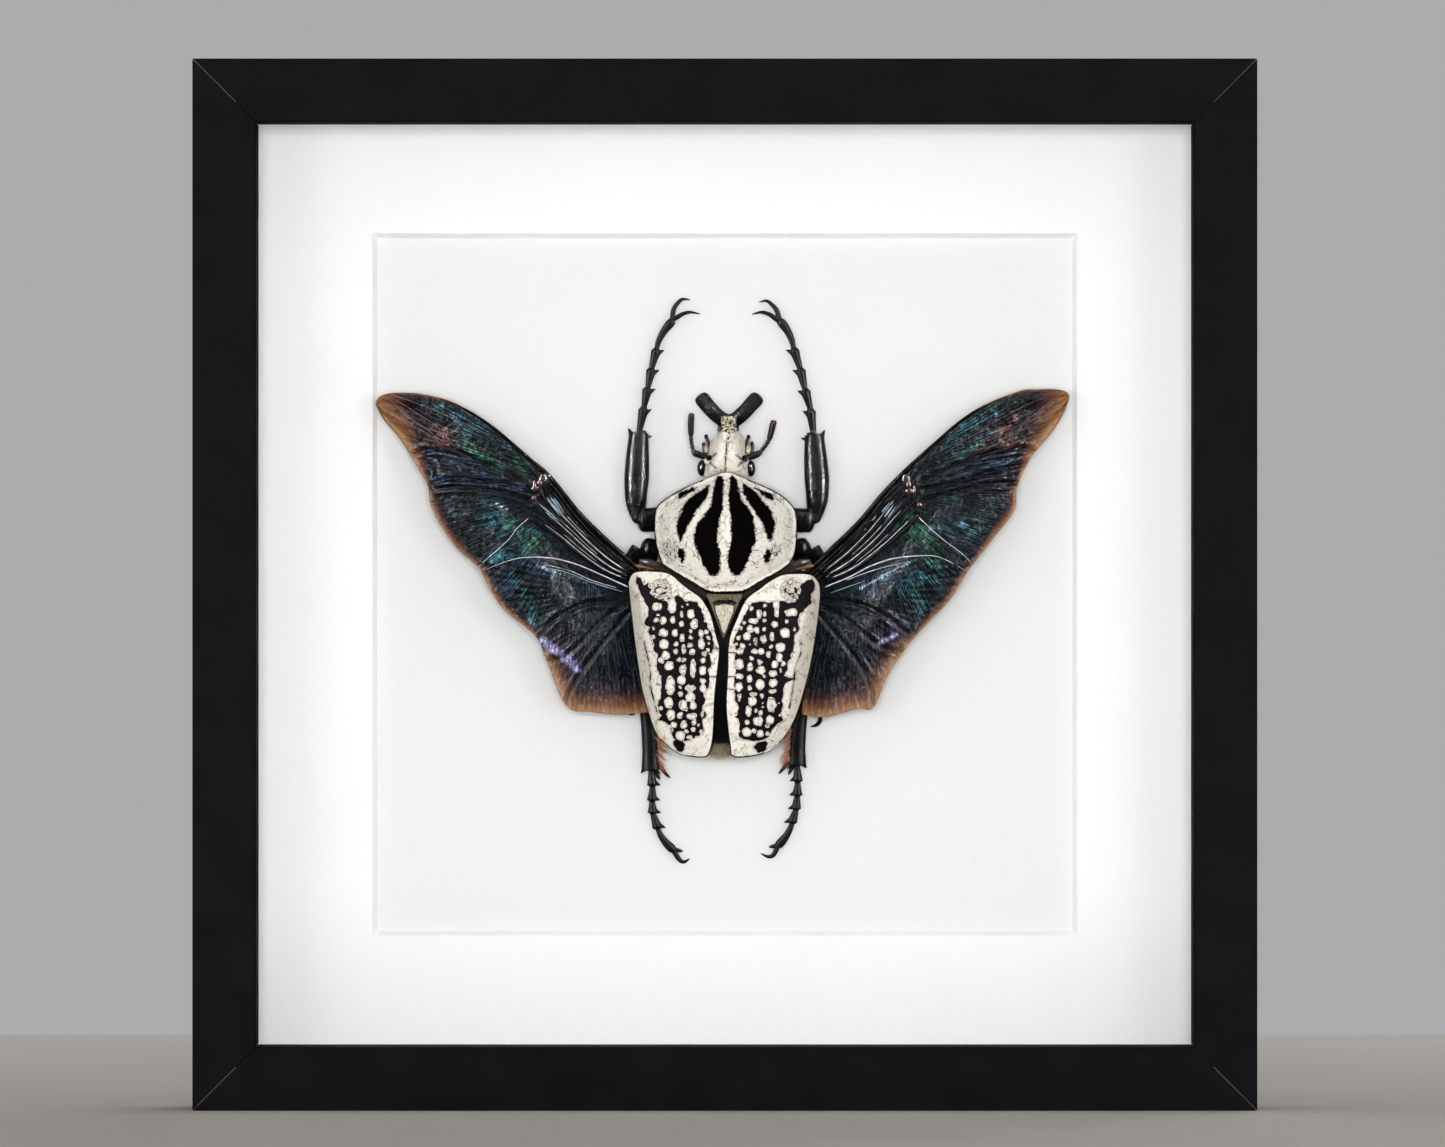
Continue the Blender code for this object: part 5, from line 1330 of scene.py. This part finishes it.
def build_body(settings):
    """Hind body under the wing cases, the furry collar before them and the hairy tip behind."""
    covers = [elytron_heights(side) for side in SIDES.values()]
    shield, _, shield_underside = pronotum_heights()
    outline = Outline(BODY_HALF + [(-x, z) for x, z in reversed(BODY_HALF)], BODY_CENTRE)

    def top(x, z, share, angle):
        # A rounded trunk that stays clear below the wing cases and the pronotum
        height = 18.6 - 11.6 * share**3
        for cover, _, underside in covers:
            inner, turn = cover.share(x, z)
            height = np.minimum(height, underside(x, z, np.minimum(inner, 1.0), turn) - COVER_GAP)
        inner, turn = shield.share(x, z)
        under_shield = shield_underside(x, z, np.minimum(inner, 1.0), turn) - COVER_GAP
        return np.where(inner < 1.03, np.minimum(height, under_shield), height)

    def underside(x, z, share, angle):
        return np.minimum(np.maximum(0.3, 7.0 - 9.8 * dome(share)), top(x, z, share, angle))

    trims = [
        [tubes([bar(smooth_line(mirrored(line, side), 6), widths, shares)], sides) for side in SIDES.values()]
        for line, widths, shares, sides in COLLAR_TRIMS
    ]
    mesh = joined([pillow(outline, top, underside, 90, 120)], *trims)
    piece("hind_body", mesh, "body_cuticle", ["beetle_body"],
          pitted_cuticle("hind body cuticle", settings.leg, 0.4, 0.03, 0.35),
          plain_horn("furred skin", toned(settings.fur, 0.3), 0.8, 0.4),
          plain_horn("grey shoulder plate", linear("#4c4a46"), 0.3, 0.5),
          plain_horn("orange skin", linear("#8e5632"), 0.5, 0.5))
    rng = np.random.default_rng(7)
    hairs = {row[0]: [] for row in FURS}
    for side in SIDES.values():
        for name, points, count, scatter, (aim_x, *aim), reach, spread in FURS:
            line = smooth_line(mirrored(points, side), 6)
            roots = along(line, rng.random(count)) + rng.normal(0, 1, (count, 3)) * scatter
            lengths = rng.uniform(*reach, count)
            hairs[name].append(strands(rng, roots, (side * aim_x, *aim), lengths, 0.04, spread))
    low = rng.uniform(0, 1, TIP_HAIRS) ** 0.5
    across = rng.normal(-1.0, 1.4, TIP_HAIRS)
    roots = np.column_stack((across, -35.4 - 2.8 * low, rng.uniform(11.0, 13.4, TIP_HAIRS)))
    lengths = rng.uniform(0.8, 1.7, TIP_HAIRS)
    hairs["tip_fur"] = [strands(rng, roots, (0, -0.7, 0.6), lengths, 0.045, 0.4)]
    finishes = (
        plain_horn("dark fur", settings.fur, 0.6, 0.4),
        plain_horn("brown fringe", toned(settings.bristle, 0.35), 0.5),
        plain_horn("grey gold fur", linear("#d6caac"), 0.6, 0.5),
    )
    for (name, meshes), finish in zip(hairs.items(), finishes):
        piece(name, joined(meshes), "body_cuticle", ["beetle_body"], finish)


def wing_sheet(side):
    """The membrane of one flight wing, with its folds and pleats, and its painted values."""
    bm = bmesh.new()
    bmesh.ops.create_grid(bm, x_segments=WING_GRID[0], y_segments=WING_GRID[1], size=1.0)
    mesh = ended(bm)
    u, v, _ = per_vertex(mesh).T
    run, chord = (u + 1) / 2, (v + 1) / 2
    front_line, back_line = smooth_line(WING_FRONT[side]), smooth_line(WING_BACK[side])
    x, z = (along(front_line, run) * (1 - chord[:, None]) + along(back_line, run) * chord[:, None]).T
    h = WING_LEVEL + WING_ARCH * np.sin(math.pi * np.minimum(1, 1.15 * run))
    h += 0.6 * np.sin(4 * math.pi * chord) * np.minimum(1, 4 * run)
    root_x, root_z = WING_ROOT[side]
    hinge_x, hinge_z = np.array(HINGE[side][1]) * MARK
    angle = np.arctan2(z - root_z, side * (x - root_x))
    reach = np.hypot(x - root_x, z - root_z)
    hinge_angle = np.arctan2(z - hinge_z, side * (x - hinge_x) + 12.0)
    hinge_reach = np.hypot(x - hinge_x, z - hinge_z)
    crease = np.zeros(len(x))
    # Each fold's valley is painted dark, as painted shade, and the membrane along each rib is dark as well
    for fold in FOLDS[side]:
        d = distance(x, z, drawn(fold))
        h -= 0.4 * bell(d, 0.5) - 0.3 * bell(d - 1.1, 0.5)
        crease = np.maximum(crease, bell(d, 0.2))
    for rib in RIBS[side]:
        crease = np.maximum(crease, bell(distance(x, z, drawn(rib)), 0.9))
    # The fan near the body is pleated, and the whole sheet is a little crumpled
    fan = np.clip((reach - 4) / 6, 0, 1) * np.clip(1 - (z - 6) / 4, 0, 1)
    pleats = np.sin(angle * FAN_PLEATS + 1.5 * rough(x, z, 6.0, 5.0))
    h += 0.1 * fan * np.clip(reach / 14 - 0.7, 0, 1) * pleats
    h += 0.16 * rough(x, z, 2.4) + 0.12 * rough(x, z, 0.9, 2.0)
    set_places(mesh, in_frame(x, z, h))
    # 0 on the pale margin's outer edge and 1 on its inner one
    margin = distance(x, z, back_line) / np.interp(run, MARGIN_SHARES, MARGIN_WIDTHS)
    margin = np.minimum(margin, distance(x, z, front_line) / 1.1 + 6 * np.maximum(0, 0.74 - run))
    paint(mesh, "crease", crease)
    paint(mesh, "distal", hinge_reach * np.sign(side * (x - hinge_x) - 0.6 * (z - hinge_z)))
    for name, turn, far, comb in (
        ("root_comb", angle, reach, ROOT_COMB), ("hinge_comb", hinge_angle, hinge_reach, HINGE_COMB)
    ):
        paint(mesh, name, np.column_stack((turn * comb[0], far * comb[1], h * 0)))
    for tint in TINTS:
        cover = np.zeros(len(x))
        for name, ax, az, bx, bz, half in SHEENS[side]:
            if name == tint:
                d = distance(x, z, np.array([(ax, az), (bx, bz)]) * MARK)
                cover = np.maximum(cover, np.clip(1.35 - d / (half * MARK), 0, 1))
        paint(mesh, tint, cover)
        if tint == "lilac":
            margin = np.maximum(margin, 1.4 * cover)
    paint(mesh, "margin", margin)
    return mesh, (x, z, h)


def build_wing(word, side, settings, finishes):
    """A membrane with its bundle of ribs along the leading edge and the knots of its hinge."""
    sheet, (x, z, h) = wing_sheet(side)
    obj = placed("helper", sheet)
    wall = obj.modifiers.new("Solidify", "SOLIDIFY")
    wall.thickness = settings.sheet
    wall.offset = 0.0
    sheet = settled(obj)

    def on_sheet(points, above):
        nearest = [np.argmin((x - px) ** 2 + (z - pz) ** 2) for px, pz in points]
        return np.column_stack((points, h[nearest] + above))

    bars, streaks, veins_and_rib_highlights = [], [], []
    front, back = smooth_line(WING_FRONT[side]), smooth_line(WING_BACK[side])
    for start, end, chord, widths in EDGE_BARS:
        run = np.linspace(start, end, 28)
        line = along(front, run) * (1 - chord) + along(back, run) * chord
        bars.append(bar(on_sheet(line, 0.15), widths))
    ribs = [along(drawn(rib), np.linspace(0, 1, 30)) for rib in RIBS[side]]
    bars += [bar(on_sheet(line, 0.25), (0.4, 0.26)) for line in ribs]
    for above, below in zip(ribs, ribs[1:]):
        bars.append(bar(on_sheet(0.5 * (above + below), 0.2), (0.2, 0.24)))
        # Two pale lines between each pair of ribs stand for the highlights on them: painted highlights
        for part, first, last, thick in ((0.3, 2, -4, 0.12), (0.72, 9, -10, 0.05)):
            line = (part * above + (1 - part) * below)[first:last]
            veins_and_rib_highlights.append(bar(on_sheet(line, 0.42), (thick, 0.06)))
    main = len(VEIN_WIDTHS)
    widths = [*VEIN_WIDTHS, *[TIP_VEIN[side]] * (len(VEINS[side]) - main)]
    lines = [
        bar(on_sheet(drawn(line), 0.06), (thick, thick, 0.03), (0, 0.55, 1))
        for line, thick in zip(VEINS[side], widths)
    ]
    veins_and_rib_highlights += lines[:main]
    tip_veins = lines[main:]
    # Pale streaks as painted highlights
    for *points, thick in HIGHLIGHT_STREAKS[side]:
        line = drawn(points)
        swell = np.sin(math.pi * np.linspace(0.04, 1, len(line)) ** 0.8)
        streaks.append((on_sheet(line, 0.45), thick * MARK * swell + 0.02))
    rng = np.random.default_rng(3)
    knots = []
    for spot in along(np.array(HINGE[side]) * MARK, np.linspace(0, 1, 6)) + rng.normal(0, 0.5, (6, 2)):
        knots.append(ball(*on_sheet([spot], 0.1)[0], (*rng.uniform(0.5, 1.3, 2), 0.5), 16, 10))
    whole = joined([sheet], [tubes(bars, 12)], [tubes(veins_and_rib_highlights)], [tubes(streaks)], [tubes(tip_veins)], knots)
    piece(f"{word}_flight_wing", whole, "wing_membrane", [f"hindwing_{word}"], *finishes)


def limb(points, shares, widths, flat, blunt=(0.1, 0.1)):
    """A bar with rounded ends: its line, half widths at shares of its length, and how flat it is."""
    share = (1 - np.cos(np.linspace(0, math.pi, 48))) / 2
    line = along(smooth_line(points), share)
    near_end = np.minimum(1, np.minimum(share / blunt[0], (1 - share) / blunt[1]))
    return line, np.interp(share, shares, widths) * dome(1 - near_end) + 0.02, flat


def tarsus(joints, levels, inner):
    """A chain of cup-shaped joints, and a spine on each side of all but the last."""
    joints = [np.array(joint) for joint in lifted(joints, np.linspace(*levels, len(joints)))]
    share = np.linspace(-0.06, 1.0, 14)
    cups, spines = [], []
    for start, end in zip(joints, joints[1:]):
        line = start + share[:, None] * (end - start)
        widths = LAST_CUP if end is joints[-1] else CUP
        if end is joints[-1]:
            bow = 0.09 * np.linalg.norm(end - start) * 4 * share * (1 - share)
            line[:, 0] -= inner * np.maximum(0, bow)
        else:
            root = start + 0.72 * (end - start)
            for way in (inner * 1.9, -inner * 1.25):
                point = root + 0.2 * (end - start) + (way, 0, -0.1)
                spines.append((np.array((root, (root + point) / 2, point)), (0.95, 0.55, 0.05)))
        cups.append((line, np.interp(share, *widths), 0.85))
    return cups, spines


def claws(lines, height):
    """Curved claws at one height."""
    lines = [smooth_line([(x, z, height) for x, z in line], 5) for line in lines]
    return [bar(line, (0.62, 0.6, 0.4, 0.08), (0, 0.25, 0.7, 1)) for line in lines]


def teeth(end, side, rows):
    """Teeth that stand off the end of a limb, from rows of (x, z) steps away from it and half widths."""
    return [(np.array(end) + [(side * x, z, 0) for x, z in steps], widths) for steps, widths in rows]


def build_leg(kind, word, limbs, spikes, finishes, reach, bristles=()):
    """One leg: limbs grown together in one skin, then its spikes, and bristles if it has any.

    Its finishes are glossy, dull and that of the bristles. It is dull as far as reach from its last joint,
    in millimetres.
    """
    skin = grown([pressed(tubes([(line, widths)], 24), line, flat) for line, widths, flat in limbs])
    x, z, h = in_specimen(skin)
    set_places(skin, in_frame(x, z, h + 0.03 * rough(x, z, 0.6)))
    mesh = joined([skin, tubes(spikes, 10)], [], bristles)
    last_z = limbs[-1][0][-1][1]
    for face in mesh.polygons:
        if face.material_index == 0 and abs(face.center.z / MM - DATUM - last_z) < reach:
            face.material_index = 1
    finishes = finishes if bristles else finishes[:2]
    piece(f"{word}_{kind}_leg", mesh, "leg_cuticle", [f"{kind}_leg_{word}"], *finishes)


class StageOperator(bpy.types.Operator):
    """Lay the floor, hang the lights and set the camera"""

    bl_idname = "goliath.stage"
    bl_label = "Stage"

    def execute(self, context):
        settings = context.scene.goliath_stage
        bm = bmesh.new()
        bmesh.ops.create_grid(bm, x_segments=1, y_segments=1, size=settings.floor_half)
        floor = placed("floor", ended(bm))
        made, node, place = new_material("matt painted floor")
        tint = coated(node, settings.floor, (node("TexNoise", sized(place, 60)), toned(settings.floor, 0.92)))
        surfaced(made, node, tint, {"Roughness": 0.9, "Specular IOR Level": 0.0})
        floor.data.materials.append(made)
        world = bpy.data.worlds.new("pale air")
        world.use_nodes = True
        world.node_tree.nodes["Background"].inputs["Color"].default_value = settings.wall
        context.scene.world = world
        # name, place, width, height, power, and whether it is soft, seen in gloss only, or both
        key, glint = settings.key_power, settings.glint_power
        lights = (
            ("front fill", (0, -4.6, 0.2), 0.9, 0.9, settings.fill_power, "soft"),
            ("left light", (-1.4, -3.2, 0.35), 0.8, 0.8, key, "soft"),
            ("right light", (1.4, -3.2, 0.35), 0.8, 0.8, key, "soft"),
            ("left glint", (-2.0, -1.7, 0.3), 0.45, 1.1, glint, "glossy"),
            ("right glint", (2.0, -1.7, 0.3), 0.45, 1.1, glint, "glossy"),
            ("upper left glint", (-1.3, -1.5, 1.5), 0.3, 0.3, 0.5 * glint, "glossy"),
            ("upper right glint", (1.3, -1.5, 1.5), 0.3, 0.3, 0.5 * glint, "glossy"),
            ("top light", (0, -1.1, 2.1), 1.2, 1.2, settings.top_power, "glossy"),
            ("rear light", (0.6, 2.2, 1.3), 1.2, 1.2, settings.rear_power, "both"),
        )
        for name, spot, wide, tall, power, seen in lights:
            data = bpy.data.lights.new(name, "AREA")
            data.shape = "RECTANGLE"
            data.size = wide
            data.size_y = tall
            data.energy = power
            lamp = placed(name, data)
            lamp.location = spot
            aim = Vector((0, 0, CAMERA_Z)) - lamp.location
            lamp.rotation_euler = aim.to_track_quat("-Z", "Y").to_euler()
            lamp.visible_glossy = seen != "soft"
            lamp.visible_diffuse = seen != "glossy"
        camera = bpy.data.cameras.new("camera")
        camera.sensor_width = SENSOR
        camera.lens = SENSOR * CAMERA_DISTANCE / VIEW_WIDTH
        camera.clip_end = 100.0
        view = placed("camera", camera)
        view.location = (CAMERA_X, FRONT * MM - CAMERA_DISTANCE, CAMERA_Z)
        view.rotation_euler = (math.pi / 2, 0, 0)
        context.scene.camera = view
        context.scene.view_settings.view_transform = "Standard"
        context.scene.view_settings.look = "Medium High Contrast"
        return {"FINISHED"}


class RailsOperator(bpy.types.Operator):
    """Make the four mitred rails of the frame"""

    bl_idname = "goliath.rails"
    bl_label = "Rails"

    def execute(self, context):
        settings = context.scene.goliath_frame
        material = lacquered_wood(settings)
        for quarter, side in enumerate(("bottom", "left", "top", "right")):
            build_rail(side, quarter * math.pi / 2, settings, material)
        return {"FINISHED"}


class SheetsOperator(bpy.types.Operator):
    """Finish the glass, the spacers, the mat, the backing and the back panel"""

    bl_idname = "goliath.sheets"
    bl_label = "Sheets"

    def execute(self, context):
        settings = context.scene.goliath_frame
        dress("glass_pane", clear_glass(settings))
        dress("mat_board", paper_board("white mat board", settings.mat, 0.5))
        dress("backing_board", paper_board("white backing board", settings.board, 0.8))
        dress("back_panel", hardboard(settings))
        card = paper_board("black spacer card", settings.spacer, 0.0)
        for side in ("top", "bottom", "left", "right"):
            dress(f"spacer_{side}", card)
        return {"FINISHED"}


class FittingsOperator(bpy.types.Operator):
    """Finish the tabs and the hanger on the back"""

    bl_idname = "goliath.fittings"
    bl_label = "Back fittings"

    def execute(self, context):
        material = zinc_plate(context.scene.goliath_frame)
        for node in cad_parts:
            if node.startswith("tab_") or node == "hanger_plate":
                dress(node, material)
        return {"FINISHED"}


class ShieldOperator(bpy.types.Operator):
    """Make the striped pronotum and the scutellum behind it"""

    bl_idname = "goliath.shield"
    bl_label = "Pronotum and scutellum"

    def execute(self, context):
        build_pronotum(context.scene.goliath_beetle)
        build_scutellum(context.scene.goliath_beetle)
        return {"FINISHED"}


class WingCasesOperator(bpy.types.Operator):
    """Make the two dotted wing cases"""

    bl_idname = "goliath.wing_cases"
    bl_label = "Wing cases"

    def execute(self, context):
        settings = context.scene.goliath_beetle
        material = cracked_cuticle("dotted cuticle", settings, settings.field, 0.15, 0.6, 0.02)
        for word, side in SIDES.items():
            build_elytron(word, side, material)
        return {"FINISHED"}


class HeadOperator(bpy.types.Operator):
    """Make the horned head with its eyes, mouthparts and antennae"""

    bl_idname = "goliath.head"
    bl_label = "Head"

    def execute(self, context):
        build_head(context.scene.goliath_beetle)
        build_antennae(context.scene.goliath_beetle)
        return {"FINISHED"}


class BodyOperator(bpy.types.Operator):
    """Make the hind body and its fur"""

    bl_idname = "goliath.body"
    bl_label = "Body"

    def execute(self, context):
        build_body(context.scene.goliath_beetle)
        return {"FINISHED"}


class WingsOperator(bpy.types.Operator):
    """Make the two spread flight wings"""

    bl_idname = "goliath.wings"
    bl_label = "Flight wings"

    def execute(self, context):
        settings = context.scene.goliath_wings
        # The sheet, then glossy black ribs, silky pale veins with pale lines between the ribs as painted
        # highlights, tinted streaks as painted highlights, and the brown hinge
        finishes = (
            wing_membrane(settings),
            pitted_cuticle("rib cuticle", linear("#040303"), 0.6, 0.03, 0.2, 0.07),
            plain_horn("pale wing vein", linear("#f0edf7"), 0.2, 1.5, 0.4),
            # Painted highlight streaks
            plain_horn("blue wing streak", settings.ice, 0.25, 0.8),
            plain_horn("lilac tip vein", linear("#a08da0"), 0.25, 1.5),
            plain_horn("hinge chitin", linear("#54382e"), 0.2, 0.7, 0.4),
        )
        for word, side in SIDES.items():
            build_wing(word, side, settings, finishes)
        return {"FINISHED"}


class LegsOperator(bpy.types.Operator):
    """Make the six legs with their claws, spines and bristles"""

    bl_idname = "goliath.legs"
    bl_label = "Legs"

    def execute(self, context):
        settings = context.scene.goliath_beetle
        finishes = (
            pitted_cuticle("glossy black cuticle", settings.leg, 0.5, 0.075, 0.14, 0.165),
            pitted_cuticle("dull black cuticle", settings.leg, 0.3, 0.03, 0.36, 0.09),
            plain_horn("orange bristle", settings.bristle, 0.4),
        )
        rng = np.random.default_rng(11)
        for word, side in SIDES.items():
            tibia, middle, hind = FRONT_TIBIA[side], MIDDLE_LEG[side], HIND_TIBIA[side]
            cups, spines = tarsus(FRONT_TARSUS[side], (4.8, 3.0), -side)
            spikes = teeth(tibia[-1], side, FRONT_TEETH) + spines + claws(FRONT_CLAWS[side], 3.0)
            build_leg("front", word, [
                limb(tibia, *FRONT_TIBIA_SHAPE),
                limb(FRONT_FEMUR[side], (0, 1), (2.9, 2.8), 0.75, (0.1, 0.2)), *cups,
            ], spikes, finishes, 26.0)
            cups, spines = tarsus(MIDDLE_TARSUS[side], (4.8, 4.0), side)
            build_leg("middle", word, [
                limb(middle[:2], (0, 0.6, 1), (2.6, 2.8, 2.5), 0.85, (0.1, 0.35)),
                limb(middle[1:3], (0, 1), (2.2, 1.7), 0.85),
                limb(middle[2:], (0, 0.2, 1), (1.8, 1.5, 1.7), 0.8, (0.06, 0.02)), *cups,
            ], spines + claws(MIDDLE_CLAW[side], 4.0), finishes, 20.0)
            cups, spines = tarsus(HIND_TARSUS[side], (4.2, 2.4), -side)
            shin = limb(hind, (0, 0.5, 0.85, 1), (1.3, 1.75, 1.85, 2.2), 0.75, (0.05, 0.012))
            roots = along(shin[0], rng.uniform(0.62, 0.95, 60)) + rng.normal(0, 1, (60, 3)) * (0.15, 0.2, 0.5)
            roots[:, 0] -= side * 1.3
            lengths = rng.uniform(2.4, 4.2, 60)
            fringe = strands(rng, roots, (-side * 0.75, -0.66, 0.05), lengths, 0.11, 0.12, 0.05)
            spikes = teeth(hind[-1], side, HIND_TEETH) + spines
            spikes += claws(HIND_SPURS[side], 4.2) + claws(HIND_CLAWS[side], 2.4)
            build_leg("hind", word, [shin, *cups], spikes, finishes, 60.0, [fringe])
        return {"FINISHED"}


class GoliathPanel(bpy.types.Panel):
    """Lists the sizes and colours of the beetle and what makes each part"""

    bl_idname = "GOLIATH_PT_panel"
    bl_label = "Framed goliath beetle"
    bl_space_type = "VIEW_3D"
    bl_region_type = "UI"
    bl_category = "Goliath"

    def draw(self, context):
        for group in GROUPS:
            box = self.layout.box()
            settings = getattr(context.scene, group)
            for name in settings.bl_rna.properties.keys():
                if name not in ("rna_type", "name"):
                    box.prop(settings, name)
        for operator in OPERATORS:
            self.layout.operator(operator.bl_idname)


GROUPS = {
    "goliath_frame": GoliathFrameSettings,
    "goliath_beetle": GoliathBeetleSettings,
    "goliath_wings": GoliathWingSettings,
    "goliath_stage": GoliathStageSettings,
}
OPERATORS = (
    StageOperator, RailsOperator, SheetsOperator, FittingsOperator, BodyOperator, ShieldOperator,
    WingCasesOperator, HeadOperator, WingsOperator, LegsOperator,
)


def register():
    for part in (*GROUPS.values(), *OPERATORS, GoliathPanel):
        bpy.utils.register_class(part)
    for name, group in GROUPS.items():
        setattr(bpy.types.Scene, name, PointerProperty(type=group))


def unregister():
    for name in GROUPS:
        delattr(bpy.types.Scene, name)
    for part in reversed((*GROUPS.values(), *OPERATORS, GoliathPanel)):
        bpy.utils.unregister_class(part)


def main():
    register()
    for operator in OPERATORS:
        family, name = operator.bl_idname.split(".")
        getattr(getattr(bpy.ops, family), name)()
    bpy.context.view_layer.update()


if __name__ == "__main__":
    main()
